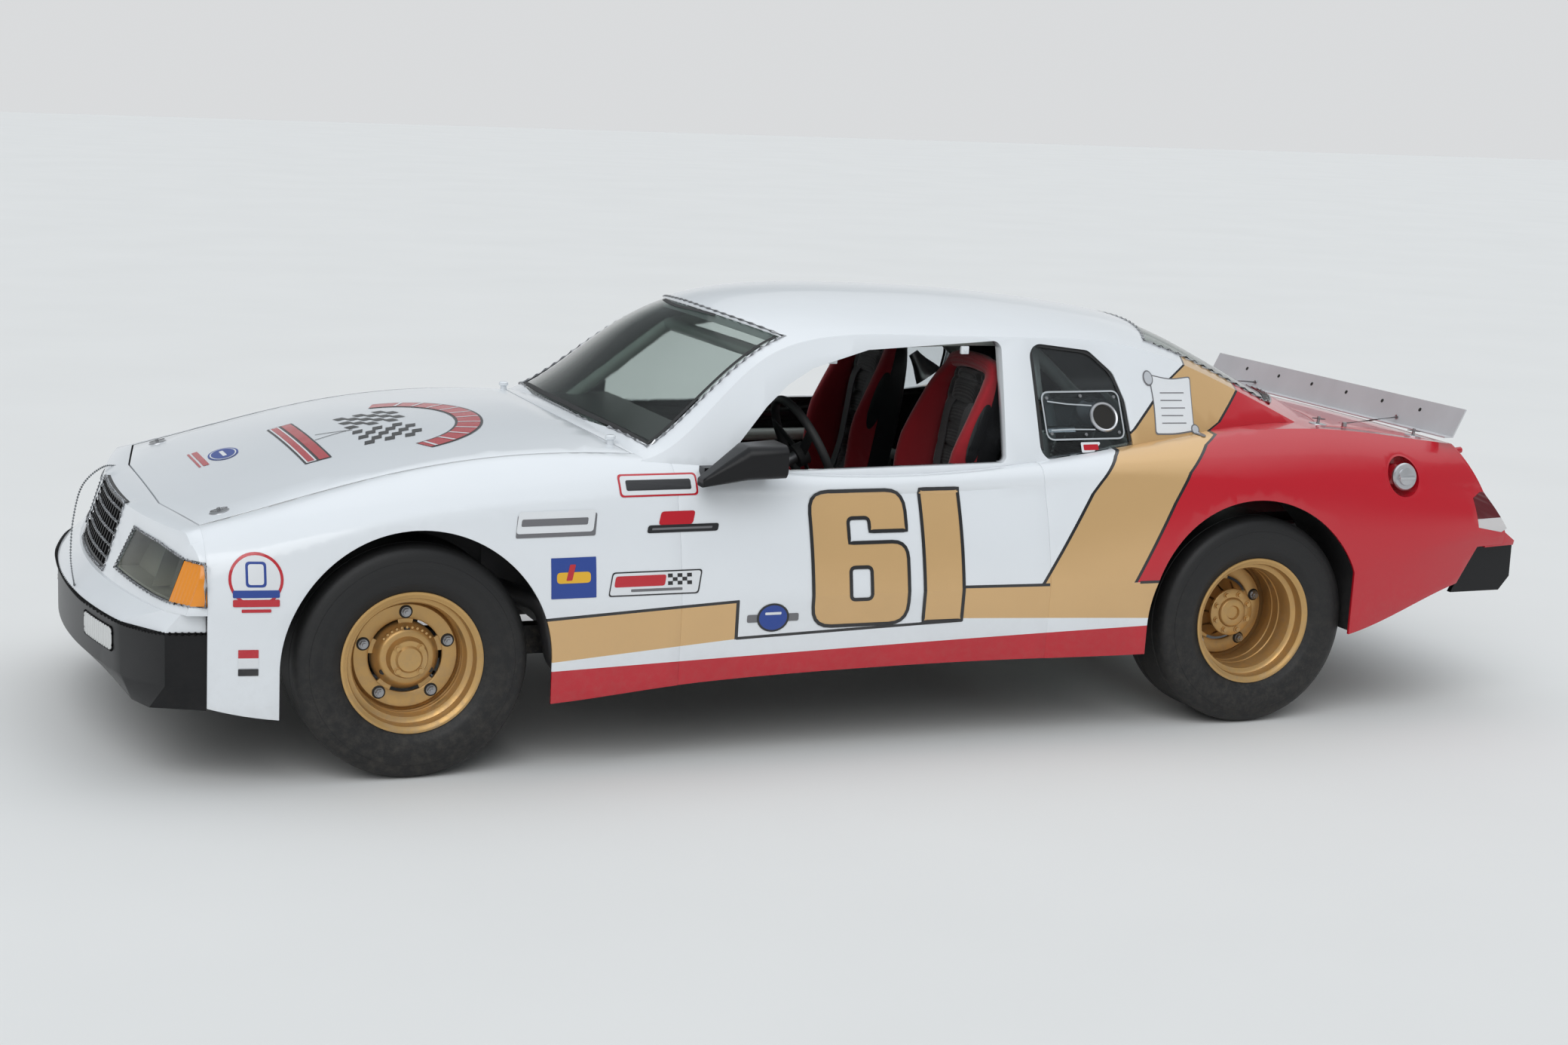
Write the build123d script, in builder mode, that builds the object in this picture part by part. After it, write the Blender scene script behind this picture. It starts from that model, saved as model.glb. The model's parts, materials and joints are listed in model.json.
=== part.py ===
"""An oval-track stock car of the 1980s: full body, cage, cabin, running gear and wide five-lug wheels."""

import math
import os
from collections import namedtuple

from build123d import *

os.makedirs("parts", exist_ok=True)

# Driving dimensions, in millimetres. X points forward, Y to the car's left, Z up from the ground.
overall_length = 4770
wheelbase = 2794
front_overhang = 878
front_axle_x = overall_length / 2 - front_overhang
rear_axle_x = front_axle_x - wheelbase
mid_x = (front_axle_x + rear_axle_x) / 2

skin_thickness = 12
door_thickness = 34
pillar_thickness = 36
glass_thickness = 6
glass_setback = 6
shut_gap = 5

tyre_radius = 343
tyre_width = 286
bead_radius = 190
rim_flange_radius = 208
rim_width = 258
front_track_half = 770
rear_track_half = 752

kingpin_y = 618
lug_circle = 260
lug_count = 5
front_lug_plane = 800
rear_lug_plane = 675

rail_height = 90
rail_width = 64
rail_z = 225
front_rail_y = 345
cabin_rail_y = 640
tube_diameter = 44
seat_width = 460


def ahead(x):
    """A place along the car, given ahead of the middle of the wheelbase."""
    return mid_x + x


# Sections of the lower body. x is ahead of mid-wheelbase; the rest runs up the left side:
# sill, crease line, waist, then the edge of the top and its crown on the centre line.
Section = namedtuple("Section", "x y_sill z_sill y_crease z_crease y_waist z_waist y_top z_top z_crown")
BODY = [
    Section(2240, 800, 240, 815, 470, 790, 590, 690, 656, 674),
    Section(1975, 886, 238, 896, 475, 876, 640, 762, 727, 743),
    Section(1786, 915, 202, 925, 485, 900, 690, 755, 775, 796),
    Section(1397, 930, 200, 940, 495, 905, 765, 745, 868, 900),
    Section(990, 925, 208, 935, 498, 885, 795, 738, 912, 948),
    Section(640, 918, 238, 930, 498, 862, 800, 765, 898, 950),
    Section(200, 912, 258, 928, 498, 846, 790, 800, 852, 880),
    Section(-560, 912, 264, 930, 498, 846, 800, 796, 862, 890),
    Section(-950, 922, 262, 934, 498, 866, 815, 776, 905, 930),
    Section(-1397, 932, 270, 940, 505, 895, 800, 762, 953, 975),
    Section(-1720, 925, 288, 932, 520, 885, 785, 755, 952, 972),
    Section(-2050, 895, 395, 912, 570, 862, 770, 752, 915, 930),
    Section(-2250, 860, 450, 882, 606, 832, 748, 742, 890, 900),
    Section(-2440, 825, 500, 852, 616, 808, 726, 735, 862, 868),
]
side_bulge = 10
shoulder_bulge = 16

# Sections of the cabin above it: foot of the side, eave and crown of the roof.
Cabin = namedtuple("Cabin", "x y_foot y_eave z_eave z_crown")
CABIN = [
    Cabin(800, 835, 800, 852, 900),
    Cabin(647, 830, 772, 908, 1028),
    Cabin(420, 828, 696, 1065, 1228),
    Cabin(240, 826, 632, 1190, 1312),
    Cabin(60, 825, 604, 1240, 1343),
    Cabin(-300, 823, 600, 1248, 1351),
    Cabin(-700, 818, 596, 1240, 1333),
    Cabin(-1050, 808, 590, 1208, 1296),
    Cabin(-1300, 795, 602, 1125, 1245),
    Cabin(-1500, 780, 622, 1035, 1155),
    Cabin(-1700, 760, 650, 938, 1055),
    Cabin(-1880, 745, 680, 855, 955),
]
cabin_foot_z = 780
eave_bulge = 5


def body_section(row, inset, open_below=0.0):
    """One closed section of the lower body, pulled in by inset, with its floor lowered by open_below."""
    sill = (row.y_sill - inset, row.z_sill - open_below)
    crease = (row.y_crease - inset, row.z_crease)
    waist = (row.y_waist - inset * 0.94, row.z_waist - inset * 0.34)
    top = (row.y_top - inset * 0.4, row.z_top - inset)
    crown = (0, row.z_crown - inset)

    def other(point):
        return (-point[0], point[1])

    with BuildSketch(Plane.YZ.offset(ahead(row.x))) as sketch:
        with BuildLine():
            Line(other(sill), sill)
            Line(sill, crease)
            SagittaArc(crease, waist, -side_bulge)
            SagittaArc(waist, top, -shoulder_bulge)
            ThreePointArc(top, crown, other(top))
            SagittaArc(other(top), other(waist), -shoulder_bulge)
            SagittaArc(other(waist), other(crease), -side_bulge)
            Line(other(crease), other(sill))
        make_face()
    return sketch.sketch.faces()[0]


def cabin_section(row, inset, foot_z):
    """One closed section of the cabin, pulled in by inset."""
    slope = (row.y_foot - row.y_eave) / (row.z_eave - cabin_foot_z)
    foot = (row.y_foot - inset + slope * (cabin_foot_z - foot_z), foot_z)
    eave = (row.y_eave - inset, row.z_eave - inset * 0.55)
    crown = (0, row.z_crown - inset)
    with BuildSketch(Plane.YZ.offset(ahead(row.x))) as sketch:
        with BuildLine():
            Line((-foot[0], foot[1]), foot)
            SagittaArc(foot, eave, -eave_bulge)
            ThreePointArc(eave, crown, (-eave[0], eave[1]))
            SagittaArc((-eave[0], eave[1]), (-foot[0], foot[1]), -eave_bulge)
        make_face()
    return sketch.sketch.faces()[0]


with BuildPart() as body_outer:
    loft([body_section(row, 0) for row in BODY])
with BuildPart() as body_inner:
    loft([body_section(row, skin_thickness, 60) for row in BODY])
with BuildPart() as door_inner:
    loft([body_section(row, door_thickness, 60) for row in BODY[3:10]])
with BuildPart() as cabin_outer:
    loft([cabin_section(row, 0, cabin_foot_z) for row in CABIN])
with BuildPart() as cabin_inner:
    loft([cabin_section(row, pillar_thickness, cabin_foot_z) for row in CABIN])
with BuildPart() as glass_outer:
    loft([cabin_section(row, glass_setback, cabin_foot_z) for row in CABIN])
with BuildPart() as glass_inner:
    loft([cabin_section(row, glass_setback + glass_thickness, cabin_foot_z) for row in CABIN])

with BuildPart() as body_shell:
    add(body_outer.part)
    add(body_inner.part, mode=Mode.SUBTRACT)
    add(cabin_inner.part, mode=Mode.SUBTRACT)
with BuildPart() as door_shell:
    add(body_outer.part)
    add(door_inner.part, mode=Mode.SUBTRACT)
    add(cabin_inner.part, mode=Mode.SUBTRACT)
with BuildPart() as cabin_shell:
    add(cabin_outer.part)
    add(cabin_inner.part, mode=Mode.SUBTRACT)
    add(body_outer.part, mode=Mode.SUBTRACT)
with BuildPart() as glass_shell:
    add(glass_outer.part)
    add(glass_inner.part, mode=Mode.SUBTRACT)
    add(body_outer.part, mode=Mode.SUBTRACT)

far_out = 1100


def side_block(points, near_y=0.0, far_y=far_out, rounding=0.0):
    """A block whose outline is drawn from the left side and which runs across the car from near_y to far_y."""
    with BuildPart() as block:
        with BuildSketch(Plane.XZ.offset(-near_y)) as outline:
            with BuildLine():
                Polyline(*[(ahead(x), z) for x, z in points], close=True)
            make_face()
            if rounding:
                fillet(outline.vertices(), rounding)
        extrude(amount=-(far_y - near_y))
    return block.part


def plan_block(points, low_z, high_z):
    """A block whose outline is drawn from above."""
    with BuildPart() as block:
        with BuildSketch(Plane.XY.offset(low_z)):
            with BuildLine():
                Polyline(*[(ahead(x), y) for x, y in points], close=True)
            make_face()
        extrude(amount=high_z - low_z)
    return block.part


def save(name, part):
    """Label a finished piece and write it."""
    part.label = name
    export_step(part, f"parts/{name}.step")


def both_sides(left):
    """A piece on the left and its mirror image on the right, as one part."""
    with BuildPart() as pair:
        add(left)
        mirror(left, about=Plane.XZ)
    return pair.part


# Joints between the body's panels, ahead of mid-wheelbase.
door_front_x = 600
door_rear_x = -620
nose_seam_x = 1975
hood_corner_y = 728
hood_bend_x = 2034
hood_bend_y = 350
hood_rear_x = 700
hood_rear_y = 718
hood_rear_bow = 95
lid_front_x = -1700
lid_half_width = 700
lid_front_bow = 190
lid_rear_x = -2185
tail_top_x = -2200
tail_foot_x = -2385
tail_foot_z = 598
rear_bumper_top = 556


def hood_plan(gap):
    """The hood seen from above, smaller all round by gap."""
    with BuildPart() as block:
        with BuildSketch(Plane.XY.offset(500)):
            with BuildLine():
                rear = (ahead(hood_rear_x) + gap, hood_rear_y - gap)
                corner = (ahead(nose_seam_x) - gap, hood_corner_y - gap)
                bend = (ahead(hood_bend_x) - gap, hood_bend_y)
                Polyline(rear, corner, bend, (bend[0], -bend[1]), (corner[0], -corner[1]), (rear[0], -rear[1]))
                ThreePointArc((rear[0], -rear[1]), (rear[0] + hood_rear_bow, 0), rear)
            make_face()
        extrude(amount=600)
    return block.part


def lid_plan(gap):
    """The deck lid seen from above, smaller all round by gap."""
    with BuildPart() as block:
        with BuildSketch(Plane.XY.offset(500)):
            with BuildLine():
                front = (ahead(lid_front_x) - gap, lid_half_width - gap)
                rear = (ahead(lid_rear_x) + gap, lid_half_width - gap)
                Polyline(front, rear, (rear[0], -rear[1]), (front[0], -front[1]))
                ThreePointArc((front[0], -front[1]), (front[0] - lid_front_bow, 0), front)
            make_face()
        extrude(amount=600)
    return block.part


def arch_block(centre, radius, reach_back):
    """A wheel opening through both sides: a half circle on legs, cut off straight behind at reach_back."""
    x, z = ahead(centre[0]), centre[1]
    with BuildPart() as block:
        with BuildSketch(Plane.XZ.offset(far_out)):
            with Locations((x, z)):
                Circle(radius)
                Rectangle(2 * radius, z, align=(Align.CENTER, Align.MAX))
            with Locations((x - reach_back, z)):
                Rectangle(radius, 2 * radius, align=(Align.MAX, Align.CENTER), mode=Mode.SUBTRACT)
        extrude(amount=-2 * far_out)
    return block.part


front_arch_centre = (1387, 338)
front_arch_radius = 393
rear_arch_centre = (-1372, 350)
rear_arch_radius = 398
rear_arch_reach = 368
front_arch = arch_block(front_arch_centre, front_arch_radius, front_arch_radius)
rear_arch = arch_block(rear_arch_centre, rear_arch_radius, rear_arch_reach)

# Windows, drawn from the left side and from above.
door_window = [(465, 852), (270, 1043), (190, 1105), (100, 1152), (-95, 1205), (-560, 1232), (-514, 867)]
quarter_window = [(-640, 870), (-982, 872), (-978, 1042), (-950, 1130), (-872, 1200), (-655, 1226)]
door_window_corner = 25
quarter_window_corner = 45
with BuildPart() as windshield_opening:
    with BuildSketch(Plane.XY.offset(700)):
        with BuildLine():
            Line((ahead(170), 548), (ahead(645), 702))
            ThreePointArc((ahead(645), 702), (ahead(738), 0), (ahead(645), -702))
            Line((ahead(645), -702), (ahead(170), -548))
            ThreePointArc((ahead(170), -548), (ahead(305), 0), (ahead(170), 548))
        make_face()
    extrude(amount=700)
with BuildPart() as backlight_opening:
    with BuildSketch(Plane.XY.offset(700)):
        with BuildLine():
            Line((ahead(-1150), 480), (ahead(-1590), 560))
            ThreePointArc((ahead(-1590), 560), (ahead(-1800), 0), (ahead(-1590), -560))
            Line((ahead(-1590), -560), (ahead(-1150), -480))
            ThreePointArc((ahead(-1150), -480), (ahead(-1270), 0), (ahead(-1150), 480))
        make_face()
    extrude(amount=700)

# Hood, deck lid and the fixed panels round them.
with BuildPart() as hood:
    add(body_shell.part)
    add(hood_plan(shut_gap), mode=Mode.INTERSECT)
    add(cabin_outer.part, mode=Mode.SUBTRACT)
save("hood", hood.part)

with BuildPart() as deck_lid:
    add(body_shell.part)
    add(lid_plan(shut_gap), mode=Mode.INTERSECT)
    add(cabin_outer.part, mode=Mode.SUBTRACT)
save("deck_lid", deck_lid.part)

cowl_half_width = hood_rear_y - 5
cowl_zone = plan_block(
    [(500, -cowl_half_width), (hood_rear_x + hood_rear_bow + 5, -cowl_half_width),
     (hood_rear_x + hood_rear_bow + 5, cowl_half_width), (500, cowl_half_width)],
    700,
    1100,
)
fender_zone = side_block(
    [(door_front_x, 100), (nose_seam_x, 100), (nose_seam_x, 1050), (door_front_x, 1050)]
)
with BuildPart() as fender_left:
    add(body_shell.part)
    add(fender_zone, mode=Mode.INTERSECT)
    add(hood_plan(0), mode=Mode.SUBTRACT)
    add(front_arch, mode=Mode.SUBTRACT)
    add(cowl_zone, mode=Mode.SUBTRACT)
save("fender_left", fender_left.part)
save("fender_right", mirror(fender_left.part, about=Plane.XZ))

with BuildPart() as cowl:
    add(body_shell.part)
    add(cowl_zone, mode=Mode.INTERSECT)
    add(hood_plan(0), mode=Mode.SUBTRACT)
save("cowl", cowl.part)

door_zone = side_block([(door_rear_x, 100), (door_front_x, 100), (door_front_x, 1050), (door_rear_x, 1050)])
with BuildPart() as side_left:
    add(door_shell.part)
    add(door_zone, mode=Mode.INTERSECT)
    add(side_block(door_window, 500, rounding=door_window_corner), mode=Mode.SUBTRACT)
    add(cowl_zone, mode=Mode.SUBTRACT)
save("side_left", side_left.part)
save("side_right", mirror(side_left.part, about=Plane.XZ))

# The tail lamps lie in the rear face and wrap round the corner on to the side.
lamp_inner_y = 430
lamp_side_y = 776
lamp_rear = [(-2284, 740), (-2304, 740), (-2389, 618), (-2366, 606), (-2360, 618)]
lamp_side = [(-2246, 724), (-2284, 740), (-2304, 740), (-2389, 618), (-2366, 606), (-2258, 628)]
with BuildPart() as tail_lamp_block:
    add(side_block(lamp_rear, lamp_inner_y))
    add(side_block(lamp_side, lamp_side_y))
rear_bumper_gap = 5
bumper_cut_top = (-2262, rear_bumper_top + rear_bumper_gap)
bumper_cut_foot = (-2172, 405)
quarter_zone = side_block(
    [(door_rear_x, 100), (door_rear_x, 1050), (tail_top_x, 1050), (tail_top_x, 905), (tail_foot_x, tail_foot_z),
     (tail_foot_x, bumper_cut_top[1]), bumper_cut_top, bumper_cut_foot, (bumper_cut_foot[0], 100)]
)
with BuildPart() as quarter_left:
    add(body_shell.part)
    add(quarter_zone, mode=Mode.INTERSECT)
    add(lid_plan(0), mode=Mode.SUBTRACT)
    add(rear_arch, mode=Mode.SUBTRACT)
    add(plan_block([(-2190, -700), (-2600, -700), (-2600, 700), (-2190, 700)], 400, 1100), mode=Mode.SUBTRACT)
    add(tail_lamp_block.part, mode=Mode.SUBTRACT)
save("quarter_right", mirror(quarter_left.part, about=Plane.XZ))

# The fuel filler's cup is sunk into the left quarter only.
filler_place = (ahead(-1950), 805)
filler_radius = 70
filler_cup_y = 772
with BuildPart() as filler_bore:
    with BuildSketch(Plane.XZ.offset(-filler_cup_y)):
        with Locations(filler_place):
            Circle(filler_radius)
    extrude(amount=-200)
with BuildPart() as quarter_left_cut:
    add(quarter_left.part)
    add(filler_bore.part, mode=Mode.SUBTRACT)
save("quarter_left", quarter_left_cut.part)
with BuildPart() as fuel_filler:
    add(filler_bore.part)
    add(body_outer.part, mode=Mode.INTERSECT)
    with BuildSketch(Plane.XZ.offset(-filler_cup_y - 6)):
        with Locations(filler_place):
            Circle(filler_radius - 6)
            Circle(34, mode=Mode.SUBTRACT)
    extrude(amount=-200, mode=Mode.SUBTRACT)
    with BuildSketch(Plane.XZ.offset(-filler_cup_y - 30)):
        with Locations(filler_place):
            Circle(40)
    extrude(amount=-200, mode=Mode.SUBTRACT)
save("fuel_filler", fuel_filler.part)

with BuildPart() as tail_panel:
    add(body_outer.part)
    add(
        side_block(
            [(-2190, 1000), (-2190, 870), (tail_top_x - 2, 870), (tail_foot_x + 14, tail_foot_z),
             (-2300, tail_foot_z),
             (-2300, rear_bumper_top), (-2436, rear_bumper_top), (-2436, 572), (tail_foot_x, tail_foot_z + 6),
             (tail_top_x - 10, 905), (tail_top_x - 10, 1000)],
            -far_out,
        ),
        mode=Mode.INTERSECT,
    )
    add(both_sides(tail_lamp_block.part), mode=Mode.SUBTRACT)
    add(quarter_left.part, mode=Mode.SUBTRACT)
    add(mirror(quarter_left.part, about=Plane.XZ, mode=Mode.PRIVATE), mode=Mode.SUBTRACT)
save("tail_panel", tail_panel.part)

with BuildPart() as roof:
    add(cabin_shell.part)
    add(windshield_opening.part, mode=Mode.SUBTRACT)
    add(backlight_opening.part, mode=Mode.SUBTRACT)
    add(side_block(door_window, -far_out, rounding=door_window_corner), mode=Mode.SUBTRACT)
    add(side_block(quarter_window, -far_out, rounding=quarter_window_corner), mode=Mode.SUBTRACT)
save("roof", roof.part)

with BuildPart() as windshield:
    add(glass_shell.part)
    add(windshield_opening.part, mode=Mode.INTERSECT)
save("windshield", windshield.part)
with BuildPart() as rear_window:
    add(glass_shell.part)
    add(backlight_opening.part, mode=Mode.INTERSECT)
save("rear_window", rear_window.part)
with BuildPart() as quarter_windows:
    add(glass_shell.part)
    add(side_block(quarter_window, -far_out, rounding=quarter_window_corner), mode=Mode.INTERSECT)
save("quarter_windows", quarter_windows.part)

# The nose: a panel with lamp and grille apertures that leans back above the bumper shelf.
nose_lean = 0.35
nose_foot_z = 440
shelf_z = 505
nose_corner = (2100, 815)
nose_front_x = 2220


def nose_block(inset):
    """Everything behind the leaning front face, set back by inset."""
    with BuildPart() as block:
        with BuildSketch(Plane.XY.offset(nose_foot_z)):
            with BuildLine():
                cheek = (ahead(2055) - inset, 880)
                corner = (ahead(nose_corner[0]) - inset, nose_corner[1])
                Polyline(corner, cheek, (cheek[0], 980), (ahead(1800), 980), (ahead(1800), -980),
                         (cheek[0], -980), (cheek[0], -cheek[1]), (corner[0], -corner[1]))
                ThreePointArc((corner[0], -corner[1]), (ahead(nose_front_x) - inset, 0), corner)
            make_face()
        extrude(amount=400, dir=(-nose_lean, 0, 1))
    return block.part


def front_block(points, low_x, high_x):
    """A block whose outline is drawn from the front, in y and z, and which runs along the car."""
    with BuildPart() as block:
        with BuildSketch(Plane.YZ.offset(ahead(low_x))):
            with BuildLine():
                Polyline(*points, close=True)
            make_face()
        extrude(amount=high_x - low_x)
    return block.part


lamp_aperture = [(362, 540), (412, 672), (640, 668), (842, 650), (905, 650), (905, 528), (700, 528)]
grille_half_width = 268
grille_top_z = 712
grille_aperture = [
    (-grille_half_width, shelf_z + 8), (grille_half_width, shelf_z + 8), (grille_half_width - 25, grille_top_z),
    (-grille_half_width + 25, grille_top_z),
]
with BuildPart() as nose_skin:
    add(nose_block(0))
    add(body_outer.part, mode=Mode.INTERSECT)
    with BuildPart(mode=Mode.PRIVATE) as nose_hollow:
        add(nose_block(skin_thickness))
        add(body_inner.part, mode=Mode.INTERSECT)
    add(nose_hollow.part, mode=Mode.SUBTRACT)
    add(plan_block([(nose_seam_x, -1000), (2600, -1000), (2600, 1000), (nose_seam_x, 1000)], shelf_z, 1000),
        mode=Mode.INTERSECT)
    add(hood_plan(0), mode=Mode.SUBTRACT)

shelf_foot_z = 452
bumper_outline = [(1958, 872), (2085, 850), (2185, 680), (2275, 0)]
shelf_outline = [(1958, 868), (2043, 862), (2088, 800), (2207, 0)]


def bow(outline, z, inset=0.0, back_x=1700):
    """A plan that runs up both sides from back_x and bows forward across the front, pulled in by inset."""
    side, corner, cheek, front = [(ahead(x) - inset, max(y - inset, 0)) for x, y in outline]
    with BuildSketch(Plane.XY.offset(z)) as sketch:
        with BuildLine():
            Polyline(cheek, corner, side, (ahead(back_x), side[1]), (ahead(back_x), -side[1]),
                     (side[0], -side[1]),
                     (corner[0], -corner[1]), (cheek[0], -cheek[1]))
            ThreePointArc((cheek[0], -cheek[1]), (front[0], 0), cheek)
        make_face()
    return sketch.sketch.faces()[0]


def bow_block(low_outline, low_z, high_outline, high_z, inset, back_x=1700):
    """A ruled block between two such plans."""
    with BuildPart() as block:
        loft([bow(low_outline, low_z, inset, back_x), bow(high_outline, high_z, inset, back_x)], ruled=True)
    return block.part


behind_nose = plan_block([(0, -1000), (nose_seam_x, -1000), (nose_seam_x, 1000), (0, 1000)], 0, 1200)
with BuildPart() as nose:
    add(nose_skin.part)
    add(front_block(lamp_aperture, nose_seam_x - 1, 2400), mode=Mode.SUBTRACT)
    add(front_block([(-y, z) for y, z in lamp_aperture], nose_seam_x - 1, 2400), mode=Mode.SUBTRACT)
    add(front_block(grille_aperture, nose_seam_x - 1, 2400), mode=Mode.SUBTRACT)
    add(bow_block(bumper_outline, shelf_foot_z, shelf_outline, shelf_z, 0))
    add(bow_block(bumper_outline, shelf_foot_z - 12, shelf_outline, shelf_z - 12, 12), mode=Mode.SUBTRACT)
    add(behind_nose, mode=Mode.SUBTRACT)
save("nose", nose.part)

with BuildPart() as grille:
    add(nose_block(2))
    add(nose_block(20), mode=Mode.SUBTRACT)
    with BuildPart(mode=Mode.PRIVATE) as bars:
        add(front_block(grille_aperture, 1900, 2400))
        frame_width = 12
        inner = [(y * (1 - frame_width / abs(y)), z + (frame_width if z < 600 else -frame_width))
                 for y, z in grille_aperture]
        add(front_block(inner, 1900, 2400), mode=Mode.SUBTRACT)
        bar_pitch = 40
        for i in range(-6, 7):
            add(front_block([(i * bar_pitch - 3, shelf_z + 10), (i * bar_pitch + 3, shelf_z + 10),
                             (i * bar_pitch * 0.92 + 3, grille_top_z - 2),
                             (i * bar_pitch * 0.92 - 3, grille_top_z - 2)],
                            1900, 2400))
    add(bars.part, mode=Mode.INTERSECT)
save("grille", grille.part)

# Lamps: a bucket behind a clear cover, and an amber marker that wraps round the corner.
cover_outline = [(366, 544), (414, 668), (640, 664), (812, 648), (806, 532), (702, 532)]
amber_outline = [(816, 646), (903, 646), (903, 532), (810, 532)]
with BuildPart() as lamp_cover:
    add(nose_block(2))
    add(nose_block(6), mode=Mode.SUBTRACT)
    add(front_block(cover_outline, 1900, 2400), mode=Mode.INTERSECT)
save("lamp_covers", both_sides(lamp_cover.part))
with BuildPart() as bucket:
    add(nose_block(8))
    add(nose_block(70), mode=Mode.SUBTRACT)
    add(front_block(cover_outline, 1900, 2400), mode=Mode.INTERSECT)
    with BuildPart(mode=Mode.PRIVATE) as hollow:
        add(nose_block(7))
        add(nose_block(66), mode=Mode.SUBTRACT)
        add(front_block([(372, 548), (418, 663), (640, 659), (806, 643), (800, 538), (704, 538)], 1900, 2400),
            mode=Mode.INTERSECT)
    add(hollow.part, mode=Mode.SUBTRACT)
save("headlamps", both_sides(bucket.part))
with BuildPart() as marker:
    add(nose_block(1))
    add(body_outer.part, mode=Mode.INTERSECT)
    add(front_block(amber_outline, nose_seam_x + 2, 2400), mode=Mode.INTERSECT)
    with BuildPart(mode=Mode.PRIVATE) as marker_hollow:
        add(nose_block(12))
        add(body_inner.part, mode=Mode.INTERSECT)
    add(marker_hollow.part, mode=Mode.SUBTRACT)
save("marker_lamps", both_sides(marker.part))

bumper_wall = 14
bumper_foot_z = 300
dam_foot_z = 226
dam_outline = [(1958, 866), (2120, 790), (2155, 690), (2185, 0)]
with BuildPart() as front_bumper:
    add(bow_block(bumper_outline, bumper_foot_z, bumper_outline, shelf_foot_z, 0))
    add(bow_block(bumper_outline, bumper_foot_z - 1, bumper_outline, shelf_foot_z + 1, bumper_wall),
        mode=Mode.SUBTRACT)
    add(bow_block(dam_outline, dam_foot_z, bumper_outline, bumper_foot_z, 0))
    add(bow_block(dam_outline, dam_foot_z - 1, bumper_outline, bumper_foot_z + 1, 10), mode=Mode.SUBTRACT)
    add(plan_block([(0, -1000), (nose_seam_x - 2, -1000), (nose_seam_x - 2, 1000), (0, 1000)], 0, 1200),
        mode=Mode.SUBTRACT)
save("front_bumper", front_bumper.part)

rear_bumper_outline = [(-2170, 863), (-2445, 820), (-2480, 770), (-2495, 0)]
rear_bumper_foot = 398
with BuildPart() as rear_bumper:
    for inset, height in ((0, rear_bumper_top), (bumper_wall, rear_bumper_top - bumper_wall)):
        side, corner, cheek, back = [(ahead(x) + inset, max(y - inset, 0)) for x, y in rear_bumper_outline]
        with BuildSketch(Plane.XY.offset(rear_bumper_foot)):
            with BuildLine():
                open_x = side[0] + 2 * inset
                Polyline(cheek, corner, (open_x, side[1]), (open_x, -side[1]), (corner[0], -corner[1]),
                         (cheek[0], -cheek[1]))
                ThreePointArc((cheek[0], -cheek[1]), (back[0], 0), cheek)
            make_face()
        extrude(amount=height - rear_bumper_foot, mode=Mode.SUBTRACT if inset else Mode.ADD)
    add(side_block([(bumper_cut_foot[0] - rear_bumper_gap, bumper_cut_foot[1]), (-2400, rear_bumper_foot),
                    (-2500, 500), (-2500, rear_bumper_top),
                    (bumper_cut_top[0] - rear_bumper_gap, rear_bumper_top)], -far_out),
        mode=Mode.INTERSECT)
save("rear_bumper", rear_bumper.part)


with BuildPart() as tail_lamp:
    add(body_outer.part)
    add(tail_lamp_block.part, mode=Mode.INTERSECT)
save("tail_lamps", both_sides(tail_lamp.part))

# The spoiler stands on the rear edge of the deck lid.
spoiler_half_width = 792
spoiler_thickness = 4
with BuildPart() as spoiler:
    add(side_block([(-2150, 926), (-2180, 926), (-2226, 1018), (-2230, 1016), (-2184, 922), (-2150, 922)],
                   -spoiler_half_width, spoiler_half_width))
    add(body_outer.part, mode=Mode.SUBTRACT)
save("spoiler", spoiler.part)


def tube(points, radius, bend=0.0):
    """A round tube along a path of straight runs, with rounded corners where bend is given."""
    places = [(ahead(x), y, z) for x, y, z in points]
    with BuildPart() as run:
        with BuildLine() as path:
            if bend and len(places) > 2:
                FilletPolyline(*places, radius=bend)
            else:
                Polyline(*places)
        with BuildSketch(Plane(origin=path.line @ 0, z_dir=path.line % 0)):
            Circle(radius)
        sweep()
    return run.part


def box_at(low, high):
    """A plain block between two corners, given ahead of mid-wheelbase."""
    with BuildPart() as block:
        with Locations((ahead((low[0] + high[0]) / 2), (low[1] + high[1]) / 2, (low[2] + high[2]) / 2)):
            Box(high[0] - low[0], high[1] - low[1], high[2] - low[2])
    return block.part


# Mirrors: a tapering housing on a foot that stands on the door.
Housing = namedtuple("Housing", "x width height y z")
MIRROR = [
    Housing(546, 54, 24, 900, 848),
    Housing(412, 134, 100, 898, 908),
    Housing(300, 156, 100, 902, 914),
]
mirror_rim = 12
mirror_recess = 18
with BuildPart() as mirror_left:
    for row in MIRROR:
        with BuildSketch(Plane.YZ.offset(ahead(row.x))):
            with Locations((row.y, row.z)):
                RectangleRounded(row.width, row.height, row.height * 0.3)
    loft(ruled=True)
    face = MIRROR[-1]
    with BuildSketch(Plane.YZ.offset(ahead(face.x))):
        with Locations((face.y, face.z)):
            RectangleRounded(face.width - 2 * mirror_rim, face.height - 2 * mirror_rim, 20)
    extrude(amount=mirror_recess, mode=Mode.SUBTRACT)
    add(box_at((420, 812, 848), (520, 860, 884)))
    add(body_outer.part, mode=Mode.SUBTRACT)
save("mirrors", both_sides(mirror_left.part))

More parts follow.
